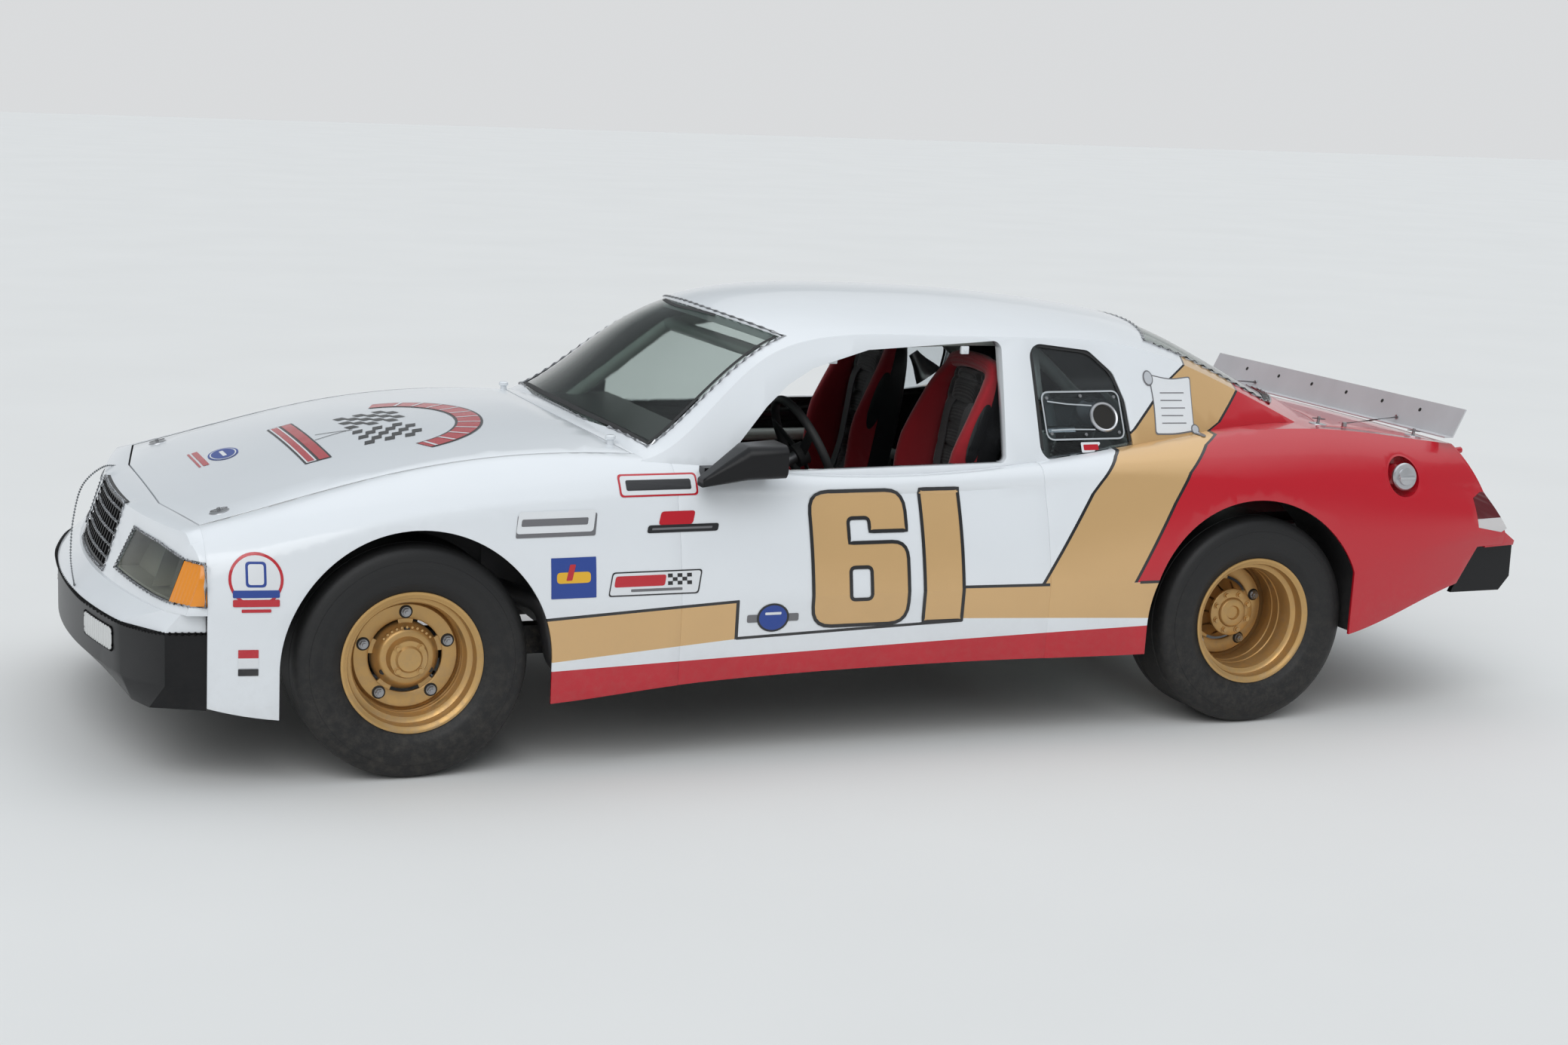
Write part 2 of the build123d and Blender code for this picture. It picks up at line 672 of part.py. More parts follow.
# Frame rails: close together at the nose, wide beside the cabin, raised over the rear axle.
frame_front_x = 1900
frame_rear_x = -2120
kick_z = 470
rail_half = rail_width / 2
jack_pad = 8
jack_pad_half = 60
with BuildPart() as chassis_frame:
    for side in (1, -1):
        for low, high in (
            ((700, front_rail_y - rail_half, rail_z),
             (frame_front_x, front_rail_y + rail_half, rail_z + rail_height)),
            ((-880, cabin_rail_y - rail_half, rail_z), (760, cabin_rail_y + rail_half, rail_z + rail_height)),
            ((frame_rear_x, front_rail_y - rail_half, kick_z),
             (-880, front_rail_y + rail_half, kick_z + rail_height)),
            ((-900, front_rail_y - rail_half, rail_z),
             (-900 + rail_width, front_rail_y + rail_half, kick_z + rail_height)),
        ):
            add(box_at((low[0], side * low[1] if side > 0 else -high[1], low[2]),
                       (high[0], high[1] if side > 0 else -low[1], high[2])))
    add(box_at((frame_rear_x, -jack_pad_half, kick_z - jack_pad),
               (frame_rear_x + rail_width, jack_pad_half, kick_z)))
    for x, y, z in ((frame_front_x - rail_width, front_rail_y, rail_z), (700, cabin_rail_y, rail_z),
                    (-900, cabin_rail_y, rail_z), (-60, cabin_rail_y, rail_z),
                    (frame_rear_x, front_rail_y, kick_z),
                    (-1080, front_rail_y, kick_z)):
        add(box_at((x, -y, z), (x + rail_width, y, z + rail_height)))
save("chassis_frame", chassis_frame.part)

# Cage: main hoop, front hoop, roof bars, door bars and rear stays, welded into one piece.
hoop_x = -735
hoop_top_x = hoop_x + 10
hoop_half = 640
hoop_top_half = 480
hoop_shoulder_z = 760
hoop_top_z = 1215
dash_bar_x = 598
dash_bar_z = 790
roof_bar_x = 175
roof_bar_half = 505
roof_bar_z = 1165
door_bar_half = 742
door_bar_heights = (400, 510, 620, 730)
door_strut_xs = (300, 60, -180)
cage_foot_z = rail_z + rail_height
tube_r = tube_diameter / 2
cross_tube_r = tube_r - 3
with BuildPart() as roll_cage:
    add(tube([(hoop_x, hoop_half, cage_foot_z), (hoop_x, hoop_half, hoop_shoulder_z),
              (hoop_top_x, hoop_top_half, hoop_top_z),
              (hoop_top_x, -hoop_top_half, hoop_top_z), (hoop_x, -hoop_half, hoop_shoulder_z),
              (hoop_x, -hoop_half, cage_foot_z)], tube_r, 120))
    for side in (1, -1):
        add(tube([(610, side * 650, cage_foot_z), (600, side * hoop_half, 800),
                  (roof_bar_x, side * roof_bar_half, roof_bar_z), (-60, side * 480, 1212),
                  (-500, side * 470, 1222),
                  (hoop_top_x, side * 440, hoop_top_z)], tube_r, 110))
        for z in door_bar_heights:
            add(tube([(605, side * 648, z), (440, side * door_bar_half, z), (-470, side * door_bar_half, z),
                      (hoop_x, side * hoop_half, z)], tube_r, 140))
        for x in door_strut_xs:
            add(tube([(x, side * door_bar_half, door_bar_heights[0] - 10),
                      (x, side * door_bar_half, door_bar_heights[-1] + 10)],
                     tube_r * 0.8))
        add(tube([(hoop_top_x, side * 420, hoop_top_z), (-1300, side * 375, 720),
                  (-1420, side * front_rail_y, kick_z + rail_height)], tube_r, 200))
    add(tube([(roof_bar_x, roof_bar_half, roof_bar_z), (roof_bar_x, -roof_bar_half, roof_bar_z)], tube_r))
    add(tube([(dash_bar_x, hoop_half, dash_bar_z), (dash_bar_x, -hoop_half, dash_bar_z)], cross_tube_r))
    add(tube([(hoop_x, hoop_half, 675), (hoop_x, -hoop_half, 675)], cross_tube_r))
    add(tube([(hoop_x + 8, hoop_top_half - 40, hoop_top_z - 25), (hoop_x, 20 - hoop_half, 420)], cross_tube_r))
    add(chassis_frame.part, mode=Mode.SUBTRACT)
save("roll_cage", roll_cage.part)

# Floor, tunnel, firewall and rear bulkhead in sheet steel.
sheet = 6
floor_z = rail_z + rail_height
tunnel_half_width = 165
tunnel_top_z = 540
firewall_x = 766
bulkhead_x = -925
package_z = 840
with BuildPart() as floor_pan:
    add(box_at((bulkhead_x, -875, floor_z), (firewall_x, 875, floor_z + sheet)))
    add(box_at((firewall_x - sheet, -900, floor_z), (firewall_x, 900, 960)))
    add(box_at((bulkhead_x, -720, floor_z), (bulkhead_x + sheet, 720, package_z)))
    add(box_at((-1740, -600, package_z - sheet), (bulkhead_x + sheet, 600, package_z)))
    add(box_at((bulkhead_x, -tunnel_half_width, floor_z), (firewall_x, tunnel_half_width, tunnel_top_z)))
    add(box_at((bulkhead_x - 5, -tunnel_half_width + sheet, floor_z - 1),
               (firewall_x + 5, tunnel_half_width - sheet, tunnel_top_z - sheet)), mode=Mode.SUBTRACT)
    add(body_inner.part, mode=Mode.INTERSECT)
    add(door_inner.part, mode=Mode.INTERSECT)
    add(roll_cage.part, mode=Mode.SUBTRACT)
    add(chassis_frame.part, mode=Mode.SUBTRACT)
save("floor_pan", floor_pan.part)

# Bucket seats: a pan, an upright back and deep side wings, narrower towards the head.
seat_y = 400
wing_width = 46
seat_floor_z = floor_z + sheet
seat_head_z = 1170
seat_side = [(-90, 430), (-100, 560), (-290, 605), (-385, 660), (-402, 800), (-430, 890), (-512, 1050),
             (-580, seat_head_z - 10), (-665, seat_head_z - 10), (-610, 420)]
seat_middle = [(-100, 440), (-90, 500), (-480, 470), (-590, seat_head_z), (-660, seat_head_z), (-610, 420),
               (-420, 400)]
seat_half = seat_width / 2
with BuildPart() as seat_front_view:
    with BuildSketch(Plane.YZ.offset(ahead(-50))) as seat_outline:
        with BuildLine():
            right = [(seat_half, seat_floor_z), (seat_half, 930), (195, 1050), (155, 1100), (150, seat_head_z)]
            Polyline(*[(seat_y - y, z) for y, z in right], *[(seat_y + y, z) for y, z in reversed(right)],
                     close=True)
        make_face()
        fillet(seat_outline.vertices().group_by(Axis.Y)[-1], 50)
    extrude(amount=-700)
with BuildPart() as seat:
    add(side_block(seat_middle, seat_y - seat_half, seat_y + seat_half))
    add(side_block(seat_side, seat_y - seat_half, seat_y - seat_half + wing_width))
    add(side_block(seat_side, seat_y + seat_half - wing_width, seat_y + seat_half))
    for x in (-180, -520):
        for y in (seat_y - seat_half + 8, seat_y + seat_half - wing_width):
            add(box_at((x, y, seat_floor_z), (x + 40, y + 38, 445)))
    add(seat_front_view.part, mode=Mode.INTERSECT)
save("seats", both_sides(seat.part))

# Dashboard: a bent panel under the windshield with round gauges in front of the driver.
dash_rear_x = 330
dash_front_x = 560
dash_foot_z = 770
dash_top_z = 905
dash_half = 640
dash_thickness = 25
gauge_z = 830
gauge_depth = 14
Gauge = namedtuple("Gauge", "y radius")
GAUGES = [Gauge(235, 30), Gauge(300, 42), Gauge(395, 42), Gauge(475, 30)]
with BuildPart() as dashboard:
    add(side_block([(dash_rear_x, dash_foot_z), (dash_rear_x, dash_top_z - 20), (dash_rear_x + 20, dash_top_z),
                    (dash_front_x, dash_top_z), (dash_front_x, dash_top_z - dash_thickness),
                    (dash_rear_x + 30, dash_top_z - dash_thickness), (dash_rear_x + 20, dash_foot_z)],
                   -dash_half, dash_half))
    for gauge in GAUGES:
        with BuildSketch(Plane.YZ.offset(ahead(dash_rear_x + 1))):
            with Locations((gauge.y, gauge_z)):
                Circle(gauge.radius)
        extrude(amount=-gauge_depth)
    add(roll_cage.part, mode=Mode.SUBTRACT)
save("dashboard", dashboard.part)

# Steering: the column runs from the wheel down to the firewall.
wheel_centre = (15, seat_y, 850)
wheel_radius = 185
column_tilt = 25
axis_x = -math.cos(math.radians(column_tilt))
axis_z = math.sin(math.radians(column_tilt))
wheel_plane = Plane(origin=(ahead(wheel_centre[0]), wheel_centre[1], wheel_centre[2]), x_dir=(0, 1, 0),
                    z_dir=(axis_x, 0, axis_z))
with BuildPart() as steering_wheel:
    with BuildSketch(Plane(origin=wheel_plane.origin, x_dir=wheel_plane.x_dir, z_dir=wheel_plane.y_dir)):
        with Locations((wheel_radius, 0)):
            Circle(14)
    revolve(axis=Axis(wheel_plane.origin, wheel_plane.z_dir))
    for angle in (90, 210, 330):
        with BuildSketch(wheel_plane.offset(-14)):
            with PolarLocations(wheel_radius / 2 + 10, 1, angle):
                Rectangle(wheel_radius - 25, 34)
        extrude(amount=4)
    with BuildSketch(wheel_plane.offset(-34)):
        Circle(38)
    extrude(amount=36)
save("steering_wheel", steering_wheel.part)

column_length = (firewall_x - wheel_centre[0] - 12) / math.cos(math.radians(column_tilt))
with BuildPart() as steering_column:
    with BuildSketch(wheel_plane.offset(-34.5)):
        Circle(19)
    extrude(amount=-(column_length - 70))
    with BuildSketch(wheel_plane.offset(-350)):
        Circle(30)
    extrude(amount=-120)
    add(box_at((dash_rear_x, seat_y - 25, 600), (dash_rear_x + 22, seat_y + 25, dash_foot_z)))
save("steering_column", steering_column.part)

# Engine as one block with its air cleaner, gearbox and propshaft behind it, radiator ahead.
axle_z = tyre_radius
engine_rear_x = 1030
engine_front_x = 1600
engine_half = 245
engine_foot_z = 330
engine_top_z = 690
cleaner_x = 1330
cleaner_radius = 180
cleaner_height = 90
cleaner_neck = 20
with BuildPart() as engine:
    add(box_at((engine_rear_x, -engine_half, engine_foot_z), (engine_front_x, engine_half, engine_top_z)))
    with Locations((ahead(cleaner_x), 0, engine_top_z)):
        Cylinder(60, cleaner_neck, align=(Align.CENTER, Align.CENTER, Align.MIN))
    with Locations((ahead(cleaner_x), 0, engine_top_z + cleaner_neck)):
        Cylinder(cleaner_radius, cleaner_height, align=(Align.CENTER, Align.CENTER, Align.MIN))
save("engine", engine.part)

radiator_x = 1780
radiator_depth = 52
radiator_half = 330
with BuildPart() as radiator:
    add(box_at((radiator_x, -radiator_half, 330), (radiator_x + radiator_depth, radiator_half, 660)))
save("radiator", radiator.part)

gearbox_rear_x = 560
gearbox_half = 110
propshaft_radius = 34
with BuildPart() as driveline:
    add(box_at((gearbox_rear_x, -gearbox_half, 325), (engine_rear_x, gearbox_half, 520)))
    add(tube([(gearbox_rear_x, 0, 415), (-1240, 0, axle_z + 30)], propshaft_radius))
save("driveline", driveline.part)

spindle_radius = 24
spindle_gap = 0.4
axle_tube_radius = 42
axle_tube_half = 600
final_drive_radius = 125
with BuildPart() as rear_axle:
    with Locations((rear_axle_x, 0, axle_z)):
        Cylinder(axle_tube_radius, 2 * axle_tube_half, rotation=(90, 0, 0))
        Cylinder(spindle_radius, 2 * (rear_lug_plane - 14), rotation=(90, 0, 0))
        Cylinder(final_drive_radius, 150, rotation=(90, 0, 0))
    with Locations((rear_axle_x + 85, 0, axle_z + 15)):
        Cylinder(58, 140, rotation=(0, 90, 0))
    for side in (1, -1):
        with Locations((rear_axle_x, side * 590, axle_z)):
            Cylinder(64, 14, rotation=(90, 0, 0))
        with Locations((rear_axle_x, side * front_rail_y, (axle_z + kick_z) / 2 + 20)):
            Box(70, 60, kick_z - axle_z + 40)
    add(driveline.part, mode=Mode.SUBTRACT)
    add(chassis_frame.part, mode=Mode.SUBTRACT)
save("rear_axle", rear_axle.part)

fuel_cell_front_x = -1640
fuel_cell_length = 400
fuel_cell_half = 300
fuel_cell_foot_z = 290
fuel_cell_top_z = 590
with BuildPart() as fuel_cell:
    add(box_at((fuel_cell_front_x - fuel_cell_length, -fuel_cell_half, fuel_cell_foot_z),
               (fuel_cell_front_x, fuel_cell_half, fuel_cell_top_z)))
save("fuel_cell", fuel_cell.part)

# Exhaust: a flange block on each side of the engine and a pipe that ends under the floor.
pipe_radius = 31
pipe_y = 460
pipe_z = rail_z - pipe_radius - 6
pipe_end_x = -560
with BuildPart() as exhaust_left:
    add(tube([(engine_rear_x + 20, 270, 440), (880, 438, 400), (840, pipe_y, pipe_z),
              (pipe_end_x, pipe_y, pipe_z)],
             pipe_radius, 75))
    add(box_at((engine_rear_x + 5, engine_half, 400), (1400, engine_half + 45, 470)))
    add(engine.part, mode=Mode.SUBTRACT)
save("exhaust", both_sides(exhaust_left.part))

# Front suspension: arms, spring and top mount on each side; ball studs enter the knuckle.
lower_ball_z = 225
upper_ball_z = 470
arm_r = 15
stud_r = 9
rel_front = front_axle_x - mid_x
with BuildPart() as suspension_left:
    for reach, y, z_in, z_out in ((170, front_rail_y + rail_half, 255, lower_ball_z),
                                  (110, 400, 455, upper_ball_z)):
        for way in (1, -1):
            add(tube([(rel_front + way * reach, y, z_in), (rel_front, kingpin_y, z_out)], arm_r))
        with Locations((front_axle_x, kingpin_y, z_out)):
            Cylinder(22, 30)
    with Locations((front_axle_x, kingpin_y, lower_ball_z + 25)):
        Cylinder(stud_r, 30)
    with Locations((front_axle_x, kingpin_y, upper_ball_z - 25)):
        Cylinder(stud_r, 30)
    add(box_at((rel_front - 130, front_rail_y - rail_half, floor_z), (rel_front + 130, 402, 475)))
    add(box_at((rel_front - 60, front_rail_y - rail_half, 470), (rel_front + 60, 470, 490)))
    add(box_at((rel_front - 105, 470, 232), (rel_front + 105, 530, 250)))
    add(tube([(rel_front, 500, 240), (rel_front, 440, 480)], 36))
    add(engine.part, mode=Mode.SUBTRACT)
    add(chassis_frame.part, mode=Mode.SUBTRACT)
save("front_suspension", both_sides(suspension_left.part))

steering_arm = 160
tie_rod_y = 594
tie_rod_z = 204
with BuildPart() as knuckle_left:
    with Locations((front_axle_x, kingpin_y, (lower_ball_z + upper_ball_z) / 2)):
        Cylinder(24, upper_ball_z - lower_ball_z - 42)
        Cylinder(stud_r + 0.5, upper_ball_z - lower_ball_z, mode=Mode.SUBTRACT)
    with Locations((front_axle_x, (kingpin_y + 745) / 2 + 8, axle_z)):
        Cylinder(spindle_radius, 745 - kingpin_y - 8, rotation=(90, 0, 0))
    add(box_at((rel_front - steering_arm - 12, tie_rod_y - 12, 282), (rel_front - 8, tie_rod_y + 12, 304)))
    with Locations((front_axle_x - steering_arm, tie_rod_y, (tie_rod_z + 14 + 290) / 2)):
        Cylinder(stud_r, 290 - tie_rod_z - 14)
save("knuckle_left", knuckle_left.part)
save("knuckle_right", mirror(knuckle_left.part, about=Plane.XZ))
with BuildPart() as tie_rod:
    with Locations((front_axle_x - steering_arm, 0, tie_rod_z)):
        Cylinder(11, 2 * tie_rod_y, rotation=(90, 0, 0))
    with Locations(*[(front_axle_x - steering_arm, side * tie_rod_y, tie_rod_z) for side in (1, -1)]):
        Cylinder(20, 26)
save("tie_rod", tie_rod.part)

# Wheels: a deep rolled rim, a lug ring over a five-lobed hub and a hollow slick tyre.
rim_half = rim_width / 2
rim_sheet = 6
rim_outside = [(rim_half - 5, rim_flange_radius), (rim_half - 14, bead_radius + 6),
               (rim_half - 19, bead_radius), (rim_half - 45, bead_radius), (rim_half - 53, bead_radius - 10),
               (rim_half - 61, bead_radius - 18)]
rim_inside = [(rim_half, rim_flange_radius - 2), (rim_half - 8, bead_radius + 4),
              (rim_half - 15, bead_radius - rim_sheet),
              (rim_half - 41, bead_radius - rim_sheet), (rim_half - 49, bead_radius - rim_sheet - 10),
              (rim_half - 57, bead_radius - rim_sheet - 18)]
lug_r = lug_circle / 2
# The tyre's wall from bead to tread, outside and inside: y from its middle, and radius.
tyre_half = tyre_width / 2
bead = bead_radius + 2
tyre_outside = [(tyre_half - 33, bead), (tyre_half - 2, 246), (tyre_half - 2, 288), (tyre_half - 19, 330),
                (tyre_half - 42, tyre_radius)]
tyre_inside = [(tyre_half - 25, tyre_radius - 21), (tyre_half - 44, bead)]


def wheel(axle_x, track_half, lug_plane, hub_reach, hub_root, weld_radius):
    """Rim with its hub, and its tyre, for the left side."""
    axis = Axis((axle_x, 0, axle_z), (0, 1, 0))
    section = Plane.YZ.offset(axle_x)

    def ring(points):
        with BuildSketch(section, mode=Mode.PRIVATE) as profile:
            with BuildLine():
                Polyline(*[(y, axle_z + r) for y, r in points], close=True)
            make_face()
        return revolve(profile.sketch, axis=axis, mode=Mode.PRIVATE)

    c = track_half
    barrel = [(c + y, r) for y, r in rim_outside] + [(c - y, r) for y, r in reversed(rim_outside)]
    barrel += [(c - y, r) for y, r in rim_inside] + [(c + y, r) for y, r in reversed(rim_inside)]
    d = lug_plane
    with BuildPart() as rim:
        add(ring(barrel))
        add(ring([(d - 8, 112), (d, 112), (d, 150), (d - 16, 158), (d - 16, weld_radius), (d - 26, weld_radius),
                  (d - 26, 152), (d - 8, 146)]))
        bell = [(d - 22, spindle_radius + spindle_gap), (d - 22, 104), (d - 6, 104), (d + hub_reach * 0.35, 76),
                (d + hub_reach * 0.4, 56), (d + hub_reach * 0.7, 56), (d + hub_reach * 0.75, 34),
                (d + hub_reach, 32),
                (d + hub_reach, 0), (d - 10, 0), (d - 10, spindle_radius + spindle_gap)]
        add(ring(bell))
        add(ring([(hub_root, spindle_radius + spindle_gap), (hub_root, 150), (hub_root + 22, 150),
                  (hub_root + 22, 50),
                  (d - 21, 50), (d - 21, spindle_radius + spindle_gap)]))
        with BuildSketch(Plane.XZ.offset(-(d - 22))):
            with Locations((axle_x, axle_z)):
                with PolarLocations(0, lug_count, 18):
                    with Locations((118, 0)):
                        Rectangle(60, 62)
        extrude(amount=-14)
        with BuildSketch(Plane.XZ.offset(-(d - 9))):
            with Locations((axle_x, axle_z)):
                with PolarLocations(lug_r, lug_count, 18):
                    RegularPolygon(14, 6)
        extrude(amount=-26)
    half = tyre_outside + [(-y, r) for y, r in reversed(tyre_outside)]
    half += [(-y, r) for y, r in reversed(tyre_inside)] + tyre_inside
    with BuildPart() as tyre:
        add(ring([(c + y, r) for y, r in half]))
    return rim.part, tyre.part


front_rim, front_tyre = wheel(front_axle_x, front_track_half, front_lug_plane, 57, 660, 167)
rear_rim, rear_tyre = wheel(rear_axle_x, rear_track_half, rear_lug_plane, 82, 618, 187)
for name, left in (("rim_f", front_rim), ("tyre_f", front_tyre), ("rim_r", rear_rim), ("tyre_r", rear_tyre)):
    save(name + "l", left)
    save(name + "r", mirror(left, about=Plane.XZ))

# Cooling air: a ducted pane in the left quarter window, its hose, and a cone hung from the main hoop.
with BuildPart() as air_ducts:
    add(cabin_inner.part)
    add(side_block([(-690, 945), (-690, 1045), (-920, 1045), (-920, 945)], 500), mode=Mode.INTERSECT)
    with BuildPart(mode=Mode.PRIVATE) as duct_inside:
        loft([cabin_section(row, pillar_thickness + 60, cabin_foot_z) for row in CABIN])
    add(duct_inside.part, mode=Mode.SUBTRACT)
save("air_ducts", air_ducts.part)
with BuildPart() as air_hoses:
    add(tube([(-860, 640, 990), (-850, 560, 900), (-820, 540, 650), (-800, 530, 420)], 48, 120))
    add(air_ducts.part, mode=Mode.SUBTRACT)
save("air_hoses", air_hoses.part)
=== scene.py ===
"""Finish, livery and small parts of a full-bodied stock car, laid out as a sidebar add-on."""

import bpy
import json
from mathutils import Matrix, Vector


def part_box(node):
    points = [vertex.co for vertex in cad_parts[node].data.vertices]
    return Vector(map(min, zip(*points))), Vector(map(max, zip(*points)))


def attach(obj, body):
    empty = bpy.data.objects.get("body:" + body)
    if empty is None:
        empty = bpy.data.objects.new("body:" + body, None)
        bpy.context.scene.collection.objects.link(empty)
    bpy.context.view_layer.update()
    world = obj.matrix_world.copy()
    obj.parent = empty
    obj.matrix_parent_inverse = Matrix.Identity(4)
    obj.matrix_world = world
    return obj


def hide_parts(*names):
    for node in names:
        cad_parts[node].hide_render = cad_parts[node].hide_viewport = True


bl_info = {
    "name": "Stock Car Finish",
    "version": (1, 0, 0),
    "blender": (4, 5, 0),
    "location": "View3D > Sidebar > Stock Car",
    "description": "Dresses the packed stock car with paint, decals, wheels, cabin and trim",
    "category": "Object",
}

import json
import math

import bmesh
import bpy
from bpy.props import FloatProperty, FloatVectorProperty, IntProperty
from mathutils import Matrix, Vector
from mathutils.bvhtree import BVHTree
from mathutils.geometry import tessellate_polygon

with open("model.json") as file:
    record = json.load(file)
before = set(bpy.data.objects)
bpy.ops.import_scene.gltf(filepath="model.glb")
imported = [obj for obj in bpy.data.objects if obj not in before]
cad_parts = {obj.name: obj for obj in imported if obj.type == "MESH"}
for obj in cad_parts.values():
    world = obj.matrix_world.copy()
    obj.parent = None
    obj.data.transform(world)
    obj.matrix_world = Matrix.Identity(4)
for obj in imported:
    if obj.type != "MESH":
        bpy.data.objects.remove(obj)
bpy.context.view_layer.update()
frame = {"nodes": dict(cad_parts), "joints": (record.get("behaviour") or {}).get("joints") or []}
NODES = frame["nodes"]
# the finishes made here, by name: the frame brings plain ones of its own
FINISHES = {}
JOINT_AT = {j["name"]: Vector(j["pos_m"]) for j in frame["joints"] if "pos_m" in j}
WHEELS = {name: JOINT_AT["wheel_" + name + "_spin"] for name in ("fl", "fr", "rl", "rr")}
MIDDLE = (WHEELS["fl"].x + WHEELS["rl"].x) / 2
WHEEL_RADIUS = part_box("tyre_fl")[1][2] / 2
PAINTED = ("hood", "fender_left", "fender_right", "cowl", "side_left", "side_right", "quarter_left",
           "quarter_right", "roof", "nose")


def along(x):
    """A place along the car, from one given ahead of the middle of the wheelbase."""
    return MIDDLE + x


UP = Vector((0, 0, 1))
# metres within which a CAD node's loose vertices join, and degrees of the edges that stay sharp
WELD_REACH = 0.00005
BEVEL_ANGLE = 50
PIECE_CREASE = 38
# spacing of the points along a thin line laid on the body
BAND_STEP = 0.012
# dust thins out between these heights
DUST_FULL = 0.12
DUST_TOP = 0.55
GRIME = (0.02, 0.018, 0.015, 1)
ROAD_DUST = (0.30, 0.26, 0.21, 1)
# the tail lens is silver below this height
TAIL_STRIP_TOP = 0.656


class Graph:
    """Short calls for adding and joining the nodes of one shader tree."""

    def __init__(self, tree):
        self.tree = tree

    def node(self, kind, **settings):
        made = self.tree.nodes.new(kind)
        for key, value in settings.items():
            setattr(made, key, value)
        return made

    def put(self, socket, value):
        """Joins value to the socket, or sets it there if it is plain."""
        if isinstance(value, bpy.types.NodeSocket):
            self.tree.links.new(value, socket)
        elif value is not None:
            socket.default_value = value

    def math(self, operation, a, b=0.0, clamp=False):
        made = self.node("ShaderNodeMath", operation=operation, use_clamp=clamp)
        self.put(made.inputs[0], a)
        self.put(made.inputs[1], b)
        return made.outputs[0]

    def mix(self, factor, a, b):
        made = self.node("ShaderNodeMix", data_type="RGBA")
        self.put(made.inputs["Factor"], factor)
        self.put(made.inputs[6], a)
        self.put(made.inputs[7], b)
        return made.outputs[2]

    def noise(self, vector, scale, detail=3.0, roughness=0.5):
        made = self.node("ShaderNodeTexNoise")
        self.put(made.inputs["Vector"], vector)
        self.put(made.inputs["Scale"], scale)
        made.inputs["Detail"].default_value = detail
        made.inputs["Roughness"].default_value = roughness
        return made.outputs["Fac"]

    def wave(self, direction, scale, distortion=0.0):
        """Bands across one direction of the part."""
        made = self.node("ShaderNodeTexWave", wave_type="BANDS", bands_direction=direction)
        self.put(made.inputs["Vector"], self.place())
        made.inputs["Scale"].default_value = scale
        made.inputs["Distortion"].default_value = distortion
        return made.outputs["Fac"]

    def ramp(self, value, low, high, out_low=0.0, out_high=1.0):
        made = self.node("ShaderNodeMapRange", clamp=True)
        self.put(made.inputs["Value"], value)
        limits = (("From Min", low), ("From Max", high), ("To Min", out_low), ("To Max", out_high))
        for key, number in limits:
            self.put(made.inputs[key], number)
        return made.outputs["Result"]

    def place(self):
        """Position on the part, in metres."""
        return self.node("ShaderNodeTexCoord").outputs["Object"]

    def split(self, vector):
        made = self.node("ShaderNodeSeparateXYZ")
        self.put(made.inputs[0], vector)
        return made.outputs

    def bump(self, height, distance, strength=1.0):
        made = self.node("ShaderNodeBump")
        self.put(made.inputs["Height"], height)
        made.inputs["Distance"].default_value = distance
        made.inputs["Strength"].default_value = strength
        return made.outputs["Normal"]


def node_group(name, inputs, outputs):
    """A new shader node group, from (name, kind, default) rows for inputs and (name, kind) for outputs."""
    group = bpy.data.node_groups.new(name, "ShaderNodeTree")
    for label, kind, default in inputs:
        socket = group.interface.new_socket(name=label, in_out="INPUT", socket_type="NodeSocket" + kind)
        socket.default_value = default
    for label, kind in outputs:
        group.interface.new_socket(name=label, in_out="OUTPUT", socket_type="NodeSocket" + kind)
    graph = Graph(group)
    return graph, graph.node("NodeGroupInput").outputs, graph.node("NodeGroupOutput").inputs


def build_weather_group():
    """Colour drift, dust low down on the body and fine grain, shared by every finish."""
    g, given, out = node_group(
        "Weather",
        [("Colour", "Color", (0.8, 0.8, 0.8, 1)), ("Roughness", "Float", 0.4), ("Drift", "Float", 0.1),
         ("Dust", "Float", 0.2), ("Grain Scale", "Float", 400.0)],
        [("Colour", "Color"), ("Roughness", "Float"), ("Height", "Float")])
    place = g.place()
    blotch = g.noise(place, 5.0, 4.0)
    low = g.ramp(g.split(place)[2], DUST_TOP, DUST_FULL)
    speck = g.ramp(g.noise(place, 38.0, 5.0, 0.7), 0.42, 0.75)
    dust = g.math("MULTIPLY", g.math("MULTIPLY", low, speck), given["Dust"])
    drift = g.math("MULTIPLY", g.ramp(blotch, 0.3, 0.7), given["Drift"])
    shade = g.mix(drift, given["Colour"], GRIME)
    g.put(out["Colour"], g.mix(dust, shade, ROAD_DUST))
    uneven = g.math("MULTIPLY", g.math("SUBTRACT", blotch, 0.5), given["Drift"])
    extra = g.math("ADD", uneven, g.math("MULTIPLY", dust, 0.5))
    g.put(out["Roughness"], g.math("ADD", given["Roughness"], extra, clamp=True))
    g.put(out["Height"], g.noise(place, given["Grain Scale"], 2.0))


# the gold band's front and rear edge on the quarter, from the crease up: ahead of mid-wheelbase, height
FRONT_SLANT = [(-0.590, 0.500), (-0.782, 0.777), (-0.888, 0.886), (-0.996, 0.959), (-1.144, 1.094),
               (-1.259, 1.163), (-1.400, 1.250)]
REAR_SLANT = [(-0.920, 0.500), (-1.067, 0.746), (-1.131, 0.838), (-1.219, 0.916), (-1.331, 0.972),
              (-1.500, 1.125)]
CREASE = 0.5
# ends of the flank's bands: front wheel arch, gold band on the fender, gold band on the door, rear arch
SILL_FRONT = 1.10
FENDER_BAND_END = 0.423
DOOR_BAND_START = -0.320
REAR_ARCH = -1.30


